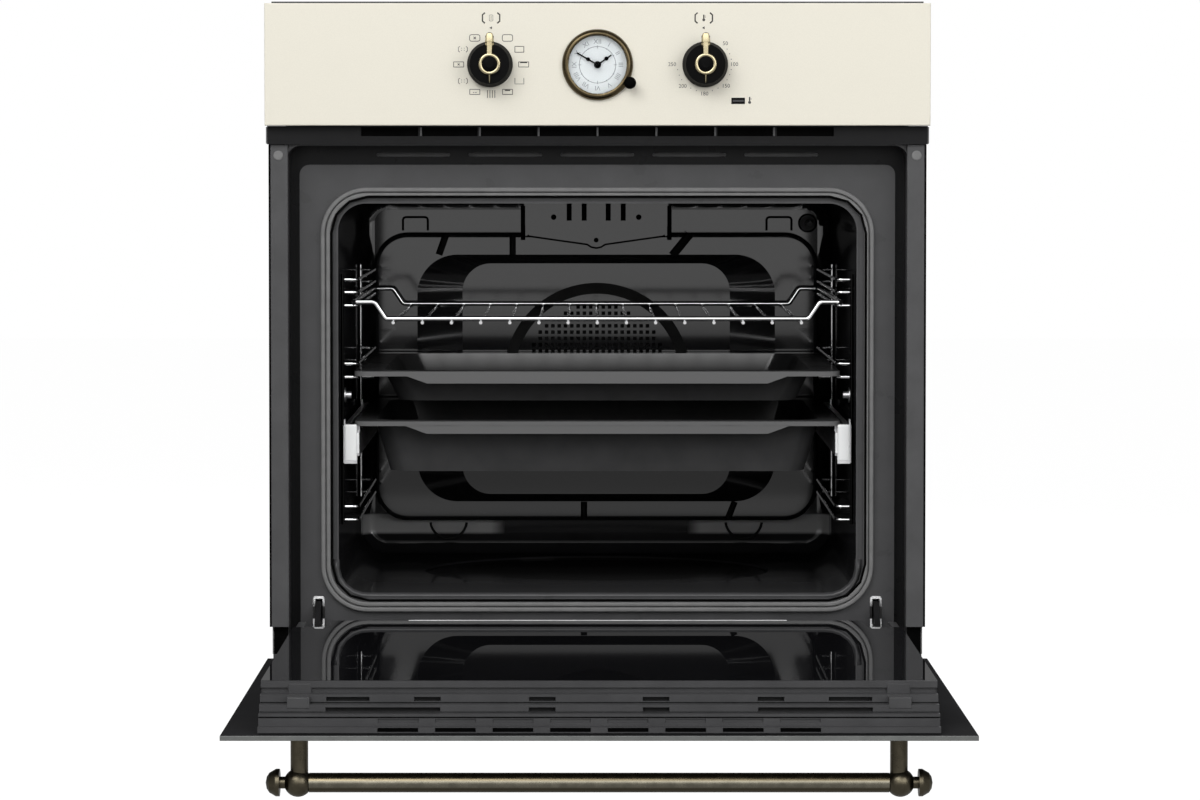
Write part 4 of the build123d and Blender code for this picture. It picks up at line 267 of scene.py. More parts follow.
def mottled_finish(
    name, colour, spread, scale, smooth, rough, grain, grain_height, stretch=(1, 1, 1), **sockets
):
    """Finish with cloudy colour and gloss and a fine bump; sockets are the shader's own."""
    material = bpy.data.materials.get(name)
    if material:
        return material
    material = bpy.data.materials.new(name)
    material.use_nodes = True
    tree = material.node_tree
    shader = tree.nodes["Principled BSDF"]
    where = surface_coordinates(material, stretch)
    mottle = tree.nodes.new("ShaderNodeGroup")
    mottle.node_tree = mottle_group()
    dark, light = shades(colour, spread)
    mottle.inputs["Scale"].default_value = scale
    mottle.inputs["Dark"].default_value = dark
    mottle.inputs["Light"].default_value = light
    mottle.inputs["Smooth"].default_value = smooth
    mottle.inputs["Rough"].default_value = rough
    bumps = tree.nodes.new("ShaderNodeGroup")
    bumps.node_tree = grain_group()
    bumps.inputs["Scale"].default_value = grain
    bumps.inputs["Height"].default_value = grain_height
    link = tree.links.new
    link(where, mottle.inputs["Vector"])
    link(where, bumps.inputs["Vector"])
    link(mottle.outputs["Color"], shader.inputs["Base Color"])
    link(mottle.outputs["Roughness"], shader.inputs["Roughness"])
    link(bumps.outputs["Normal"], shader.inputs["Normal"])
    for socket, value in sockets.items():
        shader.inputs[socket.replace("_", " ")].default_value = value
    return material


def zinc_coat():
    """Galvanised sheet of the casing."""
    material = bpy.data.materials.get("galvanised sheet")
    if material:
        return material
    material = bpy.data.materials.new("galvanised sheet")
    material.use_nodes = True
    tree = material.node_tree
    shader = tree.nodes["Principled BSDF"]
    shader.inputs["Specular IOR Level"].default_value = 0.3
    shader.inputs["Metallic"].default_value = 0.6
    where = surface_coordinates(material)
    cells = tree.nodes.new("ShaderNodeGroup")
    cells.node_tree = spangle_group()
    cells.inputs["Scale"].default_value = 110.0
    cells.inputs["Dark"].default_value = (0.30, 0.31, 0.32, 1.0)
    cells.inputs["Light"].default_value = (0.46, 0.47, 0.485, 1.0)
    rough = tree.nodes.new("ShaderNodeMapRange")
    rough.inputs["To Min"].default_value = 0.55
    rough.inputs["To Max"].default_value = 0.72
    link = tree.links.new
    link(where, cells.inputs["Vector"])
    link(cells.outputs["Color"], shader.inputs["Base Color"])
    link(cells.outputs["Mask"], rough.inputs["Value"])
    link(rough.outputs["Result"], shader.inputs["Roughness"])
    return material


def zone(material, axis, start, stop, mirrored=False):
    """Mask that rises from 0 at start to 1 at stop along an object axis, both in mm."""
    tree = material.node_tree
    place = tree.nodes.new("ShaderNodeTexCoord")
    parts = tree.nodes.new("ShaderNodeSeparateXYZ")
    rise = tree.nodes.new("ShaderNodeMapRange")
    rise.inputs["From Min"].default_value = start * MM
    rise.inputs["From Max"].default_value = stop * MM
    tree.links.new(place.outputs["Object"], parts.inputs[0])
    along = parts.outputs[axis]
    if mirrored:
        size = tree.nodes.new("ShaderNodeMath")
        size.operation = "ABSOLUTE"
        tree.links.new(along, size.inputs[0])
        along = size.outputs[0]
    tree.links.new(along, rise.inputs["Value"])
    return rise.outputs["Result"]


def oval_zone(material, centre, reach):
    """Mask that is 1 inside an upright oval column, with its centre and reach in mm."""
    tree = material.node_tree
    place = tree.nodes.new("ShaderNodeTexCoord")
    frame_map = tree.nodes.new("ShaderNodeMapping")
    frame_map.vector_type = "TEXTURE"
    frame_map.inputs["Location"].default_value = (centre[0] * MM, centre[1] * MM, 0.0)
    frame_map.inputs["Scale"].default_value = (reach[0] * MM, reach[1] * MM, 1000.0)
    size = tree.nodes.new("ShaderNodeVectorMath")
    size.operation = "LENGTH"
    rise = tree.nodes.new("ShaderNodeMapRange")
    rise.inputs["From Min"].default_value = 1.03
    rise.inputs["From Max"].default_value = 0.98
    tree.links.new(place.outputs["Object"], frame_map.inputs["Vector"])
    tree.links.new(frame_map.outputs["Vector"], size.inputs[0])
    tree.links.new(size.outputs["Value"], rise.inputs["Value"])
    return rise.outputs["Result"]


def product(material, one, two):
    times = material.node_tree.nodes.new("ShaderNodeMath")
    times.operation = "MULTIPLY"
    material.node_tree.links.new(one, times.inputs[0])
    material.node_tree.links.new(two, times.inputs[1])
    return times.outputs[0]


def tint(material, mask, colour):
    """Mix another colour over the base colour where the mask is 1."""
    tree = material.node_tree
    base = tree.nodes["Principled BSDF"].inputs["Base Color"]
    mixed = tree.nodes.new("ShaderNodeMix")
    mixed.data_type = "RGBA"
    mixed.inputs[7].default_value = (*colour, 1.0)
    tree.links.new(mask, mixed.inputs[0])
    tree.links.new(base.links[0].from_socket, mixed.inputs[6])
    tree.links.new(mixed.outputs[2], base)


def glaze(material, mask, low, high):
    """Clear glaze over a finish, from its low to its high weight by a mask."""
    tree = material.node_tree
    weight = tree.nodes.new("ShaderNodeMapRange")
    weight.inputs["To Min"].default_value = low
    weight.inputs["To Max"].default_value = high
    tree.links.new(mask, weight.inputs["Value"])
    tree.links.new(weight.outputs["Result"], tree.nodes["Principled BSDF"].inputs["Coat Weight"])


def cavity_enamel(colours):
    """Enamel of the cavity: mirror-like on the back wall, dull on the walls and floor, with painted light
    on the front of the floor and along the lower bend of the back wall, and painted shade in the floor's
    pressed oval.
    """
    name = "glossy cavity enamel"
    made = bpy.data.materials.get(name)
    if made:
        return made
    material = mottled_finish(
        name, colours.cavity_black, 0.15, 30.0, 0.3, 0.4, 500.0, 0.00001,
        Specular_IOR_Level=0.0, Coat_IOR=1.72, Coat_Roughness=0.07,
    )
    # Painted highlight: the front of the floor is painted paler.
    floor = product(material, zone(material, "Z", 72.0, 60.0), zone(material, "Y", 220.0, 30.0))
    tint(material, floor, (0.040, 0.040, 0.041))
    # Painted shade: the pressed oval low in the floor is painted darker.
    low = product(
        material, zone(material, "Z", 60.0, 56.0), oval_zone(material, (9.0, 283.0), (141.0, 103.0)),
    )
    tint(material, low, (0.009, 0.009, 0.009))
    # Painted light: a pale band along the lower bend of the back wall.
    painted_bend_light = product(material, zone(material, "Y", 396.0, 402.0), zone(material, "Z", 97.0, 95.0))
    painted_bend_light = product(material, painted_bend_light, zone(material, "Z", 75.5, 78.5))
    painted_bend_light = product(material, painted_bend_light, zone(material, "X", 92.0, 106.0, True))
    tint(material, painted_bend_light, (0.50, 0.50, 0.50))
    back = product(material, zone(material, "Y", 374.0, 384.0), zone(material, "Z", 74.0, 82.0))
    glaze(material, back, 0.12, 1.0)
    return material


def tray_enamel(name, front, back, gloss):
    """Enamel of a tray, with a painted highlight on its front lip and a painted tone on the back wall that
    stands for the light and shade falling there.
    """
    made = bpy.data.materials.get(name)
    if made:
        return made
    material = mottled_finish(
        name, (front, front, front * 1.02), 0.15, 30.0, 0.35, 0.45, 500.0, 0.00001,
        Specular_IOR_Level=0.0, Coat_IOR=1.72, Coat_Roughness=0.15,
    )
    # Painted light and shade: the back wall takes the given back tone.
    tint(material, zone(material, "Y", 352.0, 356.0), (back, back, back))
    # Painted highlight: the front lip is painted pale.
    tint(material, zone(material, "Y", 50.0, 46.0), (0.135, 0.135, 0.136))
    glaze(material, zone(material, "Y", 350.0, 354.0), 0.12, gloss)
    return material


def rack_chrome():
    """Bright chrome with its front posts painted near black, a painted reflection of the oven's dark
    mouth.
    """
    name = "rack chrome"
    made = bpy.data.materials.get(name)
    if made:
        return made
    material = mottled_finish(
        name, (0.86, 0.86, 0.87), 0.04, 150.0, 0.06, 0.14, 500.0, 0.00001, Metallic=1.0,
    )
    # Painted reflection: the front posts are painted near black.
    painted_post_shade = product(
        material, zone(material, "X", 230.6, 231.4, True), zone(material, "Y", 64.0, 61.0),
    )
    tint(material, painted_post_shade, (0.012, 0.012, 0.012))
    return material


def receiver_zinc():
    """Zinc of the hinge receivers, bright at both ends and painted dark beside the arm, as painted shade.
    """
    name = "receiver zinc"
    made = bpy.data.materials.get(name)
    if made:
        return made
    material = mottled_finish(
        name, (0.90, 0.90, 0.91), 0.06, 120.0, 0.3, 0.4, 900.0, 0.00002,
    )
    # Painted shade: the zinc is painted near black beside the arm.
    middle = product(material, zone(material, "Z", 49.8, 49.0), zone(material, "Z", 37.4, 38.2))
    tint(material, middle, (0.008, 0.008, 0.008))
    return material


def frame_enamel(colours):
    """Satin enamel, painted darker and with less coat in the depth of the channel; the darker colour is
    painted shade.
    """
    name = "satin frame enamel"
    made = bpy.data.materials.get(name)
    if made:
        return made
    material = mottled_finish(
        name, colours.frame_black, 0.1, 35.0, 0.26, 0.34, 900.0, 0.00002,
        Specular_IOR_Level=0.1, Coat_Roughness=0.3,
    )
    # Painted shade: the depth of the channel is painted darker.
    depth = zone(material, "Y", 27.5, 31.0)
    tint(material, depth, (0.011, 0.011, 0.0115))
    glaze(material, depth, 0.5, 0.0)
    return material


def pale_brass(colours):
    return mottled_finish(
        "pale brass", colours.brass, 0.12, 160.0, 0.16, 0.24, 900.0, 0.00002, Metallic=1.0,
    )


def aged_brass():
    return mottled_finish(
        "aged brass", (0.088, 0.068, 0.037), 0.2, 160.0, 0.2, 0.3, 900.0, 0.00002, Metallic=1.0,
    )


def ground_glass():
    return mottled_finish(
        "ground glass edge", (0.13, 0.135, 0.13), 0.1, 60.0, 0.3, 0.42, 1500.0, 0.00002,
    )


def printed_glass():
    """Door glass that is polished outside and printed dull black inside."""
    name = "printed black glass"
    made = bpy.data.materials.get(name)
    if made:
        return made
    material = mottled_finish(
        name, (0.023, 0.023, 0.024), 0.1, 12.0, 0.3, 0.4, 30.0, 0.000004,
        Specular_IOR_Level=0.0, Coat_Roughness=0.02,
    )
    tree = material.node_tree
    shader = tree.nodes["Principled BSDF"]
    place = tree.nodes.new("ShaderNodeTexCoord")
    parts = tree.nodes.new("ShaderNodeSeparateXYZ")
    polish = tree.nodes.new("ShaderNodeMapRange")
    polish.inputs["From Min"].default_value = 5.2 * MM
    polish.inputs["From Max"].default_value = 5.6 * MM
    polish.inputs["To Min"].default_value = 1.0
    polish.inputs["To Max"].default_value = 0.0
    link = tree.links.new
    link(place.outputs["Object"], parts.inputs[0])
    link(parts.outputs["Z"], polish.inputs["Value"])
    link(polish.outputs["Result"], shader.inputs["Coat Weight"])
    return material


# Matt black of the clock's hands and knob, also used for painted shadows in gaps, slots and behind the
# bracket.
def shadow_black():
    return mottled_finish(
        "matt black and painted shadow", (0.003, 0.003, 0.003), 0.2, 60.0, 0.7, 0.85, 900.0, 0.00002,
        Specular_IOR_Level=0.0,
    )


def outlet_black():
    return mottled_finish(
        "outlet black", (0.011, 0.011, 0.0115), 0.15, 60.0, 0.5, 0.6, 1500.0, 0.00003,
        Specular_IOR_Level=0.1,
    )


def dull_zinc():
    return mottled_finish(
        "dull zinc", (0.19, 0.19, 0.19), 0.1, 160.0, 0.5, 0.6, 900.0, 0.00003,
        Specular_IOR_Level=0.2,
    )


def dark_steel():
    return mottled_finish(
        "oiled hinge steel", (0.03, 0.03, 0.031), 0.2, 120.0, 0.35, 0.5, 900.0, 0.00003,
        Metallic=0.6,
    )


def sensor_black():
    return mottled_finish(
        "sensor black", (0.12, 0.12, 0.12), 0.2, 120.0, 0.5, 0.6, 900.0, 0.00003,
        Specular_IOR_Level=0.2,
    )


def watch_glass():
    return mottled_finish(
        "watch glass", (0.97, 0.98, 0.98), 0.01, 30.0, 0.0, 0.02, 60.0, 0.000002,
        Transmission_Weight=1.0, IOR=1.08,
    )


def side_trim_enamel():
    return mottled_finish(
        "side trim enamel", (0.072, 0.072, 0.074), 0.1, 40.0, 0.35, 0.45, 1500.0, 0.00003,
        Specular_IOR_Level=0.25,
    )


def bar_bronze(colours):
    """Bronze of the handle bar, painted darker along its top and bottom so that its middle shows as a
    painted highlight band.
    """
    name = "bronze with painted highlight"
    made = bpy.data.materials.get(name)
    if made:
        return made
    material = mottled_finish(
        name, colours.bronze, 0.16, 140.0, 0.22, 0.3, 900.0, 0.00002, Metallic=1.0,
    )
    # Painted shade above and below, leaving a painted highlight along the middle.
    tint(material, zone(material, "Z", -34.8, -33.4), (0.16, 0.132, 0.082))
    tint(material, zone(material, "Z", -39.0, -40.4), (0.080, 0.069, 0.046))
    return material


# The fan is painted near black as painted shade behind the perforated cover.
def fan_in_painted_shade():
    return mottled_finish(
        "fan in painted shade", (0.012, 0.012, 0.012), 0.6, 160.0, 0.3, 0.5, 900.0, 0.00003,
        Specular_IOR_Level=0.15,
    )


# Grey for painted shade in the grooves of the door trim and on the fan cover.
def painted_shade_grey():
    return mottled_finish(
        "painted shade grey", (0.018, 0.018, 0.018), 0.2, 60.0, 0.6, 0.7, 900.0, 0.00002,
        Specular_IOR_Level=0.05,
    )


def louvre_grey():
    return mottled_finish(
        "louvre edge", (0.13, 0.13, 0.13), 0.1, 60.0, 0.4, 0.5, 900.0, 0.00002,
    )


# White of the runner caps and receiver lips, and painted highlight on the glass ledge and its lip.
def white_and_painted_highlight():
    return mottled_finish(
        "white and painted highlight", (0.86, 0.87, 0.87), 0.03, 60.0, 0.3, 0.4, 900.0, 0.00001,
    )


def panel_print():
    return mottled_finish(
        "panel print", (0.05, 0.047, 0.042), 0.25, 300.0, 0.5, 0.6, 2000.0, 0.000005,
    )


def dial_print():
    return mottled_finish(
        "dial print", (0.20, 0.215, 0.23), 0.1, 300.0, 0.5, 0.6, 2000.0, 0.000005,
    )


def finishes(colours):
    """The finish of each of the record's material slots."""
    return {
        "galvanised": zinc_coat(),
        "black_enamel": cavity_enamel(colours),
        "trim_enamel": mottled_finish(
            "satin trim enamel", (0.050, 0.050, 0.052), 0.1, 40.0, 0.35, 0.45, 1500.0, 0.00003,
            Specular_IOR_Level=0.25,
        ),
        "zinc": mottled_finish(
            "bright zinc", (0.72, 0.73, 0.74), 0.12, 120.0, 0.22, 0.4, 700.0, 0.00003, Metallic=0.9,
        ),
        "ivory_enamel": mottled_finish(
            "ivory enamel", colours.ivory, 0.02, 900.0, 0.42, 0.52, 1400.0, 0.00004,
        ),
        "black_plastic": mottled_finish(
            "black moulded plastic", (0.02, 0.02, 0.02), 0.15, 60.0, 0.4, 0.55, 1800.0, 0.00004,
        ),
        "knob_black": mottled_finish(
            "knob black", (0.006, 0.006, 0.006), 0.2, 80.0, 0.42, 0.5, 900.0, 0.00001,
            Specular_IOR_Level=0.015,
        ),
        "aged_brass": aged_brass(),
        "dial_white": mottled_finish(
            "dial white", (0.58, 0.60, 0.61), 0.02, 60.0, 0.5, 0.6, 1200.0, 0.00001,
        ),
        "clear_glass": mottled_finish(
            "clear glass", (0.95, 0.97, 0.96), 0.01, 30.0, 0.01, 0.04, 60.0, 0.000005,
            Transmission_Weight=1.0, IOR=1.45,
        ),
        "black_glass": mottled_finish(
            "black glass", (0.007, 0.007, 0.008), 0.1, 12.0, 0.0, 0.008, 30.0, 0.000001,
        ),
        "seal_rubber": mottled_finish(
            "seal rubber", (0.15, 0.15, 0.15), 0.12, 90.0, 0.45, 0.6, 1500.0, 0.00004,
        ),
        "wool": mottled_finish(
            "mineral wool", (0.72, 0.68, 0.55), 0.2, 220.0, 0.9, 1.0, 700.0, 0.0008,
        ),
        "element_steel": mottled_finish(
            "oxidised element steel", (0.12, 0.115, 0.11), 0.3, 90.0, 0.35, 0.55, 900.0, 0.00003,
            Metallic=0.8,
        ),
        "chrome": mottled_finish(
            "chrome wire", (0.82, 0.82, 0.83), 0.04, 150.0, 0.06, 0.14, 500.0, 0.00001,
            Metallic=1.0,
        ),
        "steel": mottled_finish(
            "brushed steel", (0.62, 0.62, 0.63), 0.1, 140.0, 0.25, 0.4, 900.0, 0.00002,
            stretch=(1, 12, 1), Metallic=1.0,
        ),
        "aluminium": mottled_finish(
            "satin aluminium", (0.66, 0.67, 0.68), 0.06, 120.0, 0.3, 0.42, 900.0, 0.00002,
            stretch=(8, 1, 1), Metallic=1.0,
        ),
        "handle_bronze": mottled_finish(
            "antique bronze", (0.095, 0.083, 0.058), 0.16, 140.0, 0.26, 0.34, 900.0, 0.00002, Metallic=1.0,
        ),
    }


def coat(node, material):
    """Give a CAD node its finish."""
    mesh = frame["nodes"][node].data
    mesh.materials.clear()
    mesh.materials.append(material)


# Making of meshes


def placed(piece, body, material, nodes=()):
    """Link a finished piece, give it its finish and tie it to its body."""
    piece.data.materials.clear()
    piece.data.materials.append(material)
    bpy.context.collection.objects.link(piece)
    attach(piece, body)
    if nodes:
        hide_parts(*nodes)


def made_piece(name, bm, body, material, nodes=(), smooth=False):
    """Close a bmesh up and make it a piece."""
    bmesh.ops.remove_doubles(bm, verts=bm.verts, dist=0.001 * MM)
    bmesh.ops.recalc_face_normals(bm, faces=bm.faces)
    mesh = bpy.data.meshes.new(name)
    bm.to_mesh(mesh)
    bm.free()
    if smooth:
        mesh.shade_smooth()
        mesh.set_sharp_from_angle(angle=math.radians(32))
    placed(bpy.data.objects.new(name, mesh), body, material, nodes)


def on_front(x, y, z, tilt=0.0):
    """Place on a plane that faces the front, from mm; tilt turns it clockwise in degrees."""
    turn = Matrix.Rotation(math.radians(tilt), 4, "Y")
    return Matrix.Translation((x * MM, y * MM, z * MM)) @ turn


def cuboid(bm, xs, ys, zs, bevel=0.0):
    """Box between limits in mm, with its edges rounded by a bevel."""
    size = [(high - low) * MM for low, high in (xs, ys, zs)]
    middle = [(high + low) / 2 * MM for low, high in (xs, ys, zs)]
    place = Matrix.Translation(middle) @ Matrix.Diagonal((*size, 1))
    made = bmesh.ops.create_cube(bm, size=1.0, matrix=place)
    if bevel:
        edges = {edge for vert in made["verts"] for edge in vert.link_edges}
        bmesh.ops.bevel(
            bm, geom=list(edges), offset=bevel * MM, segments=2, profile=0.5, affect="EDGES",
            material=-1,
        )


def turned(bm, profile, place, steps=48):
    """Spin a profile of (radius, depth) points in mm about the depth axis of a place."""
    verts = [bm.verts.new(place @ Vector((r * MM, y * MM, 0))) for r, y in profile]
    edges = [bm.edges.new(ends) for ends in zip(verts, verts[1:])]
    axis = place.to_3x3() @ Vector((0, 1, 0))
    bmesh.ops.spin(
        bm, geom=verts + edges, cent=place.translation, axis=axis, angle=math.tau, steps=steps,
        use_merge=True,
    )


def ring_of(profile):
    """A profile that closes on itself, for a ring."""
    return (*profile, profile[0])


def lofted(bm, sections):
    """Skin a row of closed sections of points in metres, and cap its ends."""
    rings = []
    for section in sections:
        verts = [bm.verts.new(point) for point in section]
        rings.append([bm.edges.new(ends) for ends in zip(verts, verts[1:] + verts[:1])])
    for ring, following in zip(rings, rings[1:]):
        bmesh.ops.bridge_loops(bm, edges=ring + following)
    for ring in (rings[0], rings[-1]):
        bmesh.ops.contextual_create(bm, geom=ring)


def line_mesh(strokes, width):
    """Mesh of lines along (points, closed) strokes in the XZ plane, in mm."""
    curve = bpy.data.curves.new("lines", "CURVE")
    curve.dimensions = "3D"
    curve.bevel_depth = width / 2 * MM
    curve.bevel_resolution = 0
    curve.use_fill_caps = True
    for points, closed in strokes:
        spline = curve.splines.new("POLY")
        spline.points.add(len(points) - 1)
        for point, (x, z) in zip(spline.points, points):
            point.co = (x * MM, 0, z * MM, 1)
        spline.use_cyclic_u = closed
    return from_curve(curve)


def word_mesh(words, height, thickness):
    """Mesh of centred words or numbers that face the front, in mm."""
    curve = bpy.data.curves.new("words", "FONT")
    curve.body = words
    curve.size = height / 0.7 * MM
    curve.extrude = thickness / 2 * MM
    curve.resolution_u = 3
    curve.align_x = "CENTER"
    curve.align_y = "CENTER"
    mesh = from_curve(curve)
    mesh.transform(Matrix.Rotation(math.radians(90), 4, "X"))
    return mesh


def from_curve(curve):
    """Turn a curve into a mesh and drop the curve."""
    holder = bpy.data.objects.new(curve.name, curve)
    mesh = bpy.data.meshes.new_from_object(holder)
    bpy.data.objects.remove(holder)
    bpy.data.curves.remove(curve)
    return mesh


def stamp(bm, mesh, place):
    """Add a mesh to a bmesh at a place and drop the mesh."""
    mesh.transform(place)
    bm.from_mesh(mesh)
    bpy.data.meshes.remove(mesh)


def flat(thickness, width):
    """Squash that makes lines of a width as thin as a print."""
    return Matrix.Diagonal((1, thickness / width, 1, 1))


def oval(half_width, half_height, corner, steps=4):
    """Closed stroke of a rounded rectangle about the origin."""
    points = []
    corners = ((1, 1, 0), (1, -1, 90), (-1, -1, 180), (-1, 1, 270))
    for x, z, start in corners:
        for step in range(steps + 1):
            angle = math.radians(start + 90 * step / steps)
            points.append((
                x * (half_width - corner) + corner * math.sin(angle),
                z * (half_height - corner) + corner * math.cos(angle),
            ))
    return points, True


def moved(strokes, x, z):
    return [([(px + x, pz + z) for px, pz in points], closed) for points, closed in strokes]


# Operators


class OVEN_OT_finishes(bpy.types.Operator):
    """Coat every part of the frame with the finish of its slot"""

    bl_idname = "oven.finishes"
    bl_label = "Oven finishes"

    def execute(self, context):
        coats = finishes(context.scene.oven_colours)
        for part in frame["record"]["subparts"]:
            coat(part["node"], coats[part["material_slot"]])
        for node in ("front_frame", "door_profiles"):
            coat(node, frame_enamel(context.scene.oven_colours))
        coat("air_outlet", outlet_black())
        # Painted highlight: the glass ledge is painted white where a bright line of light falls on it.
        coat("glass_ledge", white_and_painted_highlight())
        coat("cabinet_bushes", dull_zinc())
        coat("shallow_tray", tray_enamel("shallow tray enamel", 0.028, 0.05, 1.0))
        coat("deep_tray", tray_enamel("deep tray enamel", 0.040, 0.004, 0.2))
        coat("rack_left", rack_chrome())
        coat("rack_right", rack_chrome())
        coat("hinge_receivers", receiver_zinc())
        coat("temperature_sensor", sensor_black())
        # Painted shade: the fan behind the cover is painted near black.
        coat("convection_fan", fan_in_painted_shade())
        coat("frame_trims", side_trim_enamel())
        coat("handle_bar", bar_bronze(context.scene.oven_colours))
        coat("clock_glass", watch_glass())
        coat("pilot_lamp", coats["knob_black"])
        coat("hinge_arms", outlet_black())
        for node in ("hour_hand", "minute_hand", "clock_knob"):
            coat(node, shadow_black())
        return {"FINISHED"}


KNOB_X = 96.0
KNOB_Z = 540.3
PANEL_Y = -22.0
CONTROLS = (
    (-1, "function_control", "function"),
    (1, "temperature_control", "temperature"),
)


def ridge(place, back, height, width, top, front):
    """Section of a ridged bar at a height: its width at the back and its narrower top."""
    outline = ((-width / 2, back), (-top / 2, front), (top / 2, front), (width / 2, back))
    return [place @ Vector((x * MM, y * MM, height * MM)) for x, y in outline]


class OVEN_OT_pointers(bpy.types.Operator):
    """Model the brass pointers that lie on the knobs"""

    bl_idname = "oven.pointers"
    bl_label = "Knob pointers"

    back = -41.7
    ring = (
        (6.5, -41.7), (6.5, -43.4), (6.9, -43.9), (7.4, -44.1), (8.8, -44.1), (9.3, -43.9),
        (9.7, -43.4), (9.7, -41.7),
    )
    bar = (
        (8.8, 6.6, 3.9, -44.05), (18.4, 7.6, 4.2, -44.05), (18.6, 7.6, 4.2, -43.0),
        (19.6, 8.0, 4.2, -43.0), (19.8, 8.0, 4.9, -44.05), (25.4, 6.6, 4.6, -44.05),
        (27.2, 5.2, 3.2, -43.8), (28.0, 2.8, 1.4, -43.0),
    )
    tail = ((-8.8, 2.7, 1.0, -43.7), (-14.0, 2.5, 0.8, -43.3), (-16.6, 0.9, 0.3, -42.5))

    def execute(self, context):
        brass = pale_brass(context.scene.oven_colours)
        for side, body, name in CONTROLS:
            place = on_front(side * KNOB_X, 0, KNOB_Z)
            bm = bmesh.new()
            turned(bm, ring_of(self.ring), place)
            for stations in (self.bar, self.tail):
                lofted(bm, [ridge(place, self.back, *station) for station in stations])
            made_piece(
                f"{name}_brass_pointer", bm, body, brass, (f"{name}_pointer",),
                smooth=True,
            )
        return {"FINISHED"}


def outline(width, height, corner):
    return oval(width / 2, height / 2, corner, steps=3)


def line(*points):
    return points, False


def cross(reach):
    return [line((-reach, -reach), (reach, reach)), line((-reach, reach), (reach, -reach))]


def brackets(width, height, lip):
    """Two upright brackets that open towards each other."""
    x, z = width / 2, height / 2
    return [
        line((side * (x - lip), z), (side * x, z * 0.6), (side * x, -z * 0.6), (side * (x - lip), -z))
        for side in SIDES
    ]


def four_dots():
    return [line((x - 0.3, z), (x + 0.3, z)) for x in (-1.2, 1.2) for z in (-1.0, 1.0)]


def function_signs():
    """Strokes of the cooking functions round the knob, each with its place from the axis."""
    flat_box = outline(9.0, 4.6, 0.3)
    fan = [outline(9.2, 5.8, 1.6), *cross(1.1)]
    return (
        (14.6, 23.6, [outline(9.2, 5.8, 1.6)]),
        (25.2, 13.5, [outline(8.0, 5.2, 0.3)]),
        (29.0, 0.0, [flat_box, line((-3.2, 1.5), (3.2, 1.5)), line((-3.2, 1.8), (3.2, 1.8))]),
        (25.2, -14.8, [line((-4.0, 2.6), (-4.0, -2.6), (4.0, -2.6), (4.0, 2.6))]),
        (14.6, -24.5, [flat_box, line((-2.4, 1.5), (2.4, 1.5)), line((-2.4, 1.1), (2.4, 1.1))]),
        (0.0, -26.4, [line((x, -3.4), (x, 3.4)) for x in (-3.3, -1.1, 1.1, 3.3)]),
        (-14.6, -24.5, [flat_box, line((-1.6, -0.5), (-0.4, -0.5)), line((0.4, -0.5), (1.6, -0.5))]),
        (-25.2, -14.8, [*brackets(8.0, 5.2, 1.2), *four_dots()]),
        (-29.0, 0.0, [flat_box, *cross(0.9)]),
        (-25.2, 13.5, [*brackets(8.0, 5.2, 1.2), *four_dots()]),
        (-14.6, 23.6, fan),
    )


class OVEN_OT_panel_marks(bpy.types.Operator):
    """Print the signs and numbers round the knobs and beside the pilot lamp"""

    bl_idname = "oven.panel_marks"
    bl_label = "Panel marks"

    stroke = 0.6
    shifts = {"function": (1.0, 1.0), "temperature": (-0.6, -1.2)}

    def execute(self, context):
        self.thickness = context.scene.oven_sizes.print_thickness / MM
        for side, _, name in CONTROLS:
            bm = bmesh.new()
            around, above = self.shifts[name]
            place = on_front(side * KNOB_X + around, PANEL_Y, KNOB_Z)
            if name == "function":
                for x, z, strokes in function_signs():
                    self.ink(bm, place, moved(strokes, x, z))
            else:
                self.temperatures(bm, place)
            self.heading(bm, on_front(side * KNOB_X + above, PANEL_Y, KNOB_Z), name)
            made_piece(f"{name}_marks", bm, "oven_body", panel_print())
        bm = bmesh.new()
        self.thermometer(bm, on_front(135.8, PANEL_Y, 508.2), 6.2)
        made_piece("pilot_mark", bm, "oven_body", panel_print())
        return {"FINISHED"}

    def ink(self, bm, place, strokes, width=None):
        width = width or self.stroke
        stamp(bm, line_mesh(strokes, width), place @ flat(self.thickness, width))

    def dot(self, bm, place, radius, segments=10):
        """Flat dot or, of three segments, a small triangle that points down."""
        turn = Matrix.Rotation(math.radians(90), 4, "X") @ Matrix.Rotation(math.pi / 2, 4, "Z")
        bmesh.ops.create_cone(
            bm, cap_ends=True, segments=segments, radius1=radius * MM, radius2=radius * MM,
            depth=self.thickness * MM, matrix=place @ turn,
        )

    def thermometer(self, bm, place, height):
        bulb = height * 0.22
        self.dot(bm, place @ Matrix.Translation((0, 0, (bulb - height / 2) * MM)), bulb, 14)
        self.ink(bm, place, [line((0, 2 * bulb - height / 2), (0, height / 2))], height * 0.2)
        for rise in (0.12, 0.3):
            self.ink(bm, place, [line((1.0, height * rise), (1.6, height * rise))])

    def heading(self, bm, place, name):
        """Bracketed sign and a small triangle over the knob."""
        above = place @ Matrix.Translation((0, 0, 41.4 * MM))
        self.ink(bm, above, brackets(15.4, 9.4, 2.2), 1.3)
        if name == "function":
            self.ink(bm, above, [outline(3.2, 5.4, 0.6), line((0, -1.8), (0, 1.8))], 0.35)
        else:
            self.thermometer(bm, above, 5.9)
        self.dot(bm, place @ Matrix.Translation((0, 0, 32.6 * MM)), 1.5, 3)

    def temperatures(self, bm, place):
        numbers = ((45, 26.4, "50"), (90, 26.6, "100"), (135, 27.2, "150"), (180, 26.2, "180"),
                   (225, 27.4, "200"), (270, 28.8, "250"))
        for angle, reach, number in numbers:
            turn = math.radians(angle)
            offset = Vector((math.sin(turn), 0, math.cos(turn))) * reach * MM
            stamp(bm, word_mesh(number, 3.4, self.thickness), Matrix.Translation(offset) @ place)
        for angle in (56, 67, 79, 101, 112, 124, 150, 163, 197, 210, 236, 247, 259):
            turn = math.radians(angle)
            offset = Vector((math.sin(turn), 0, math.cos(turn))) * 24.4 * MM
            self.dot(bm, Matrix.Translation(offset) @ place, 0.4)


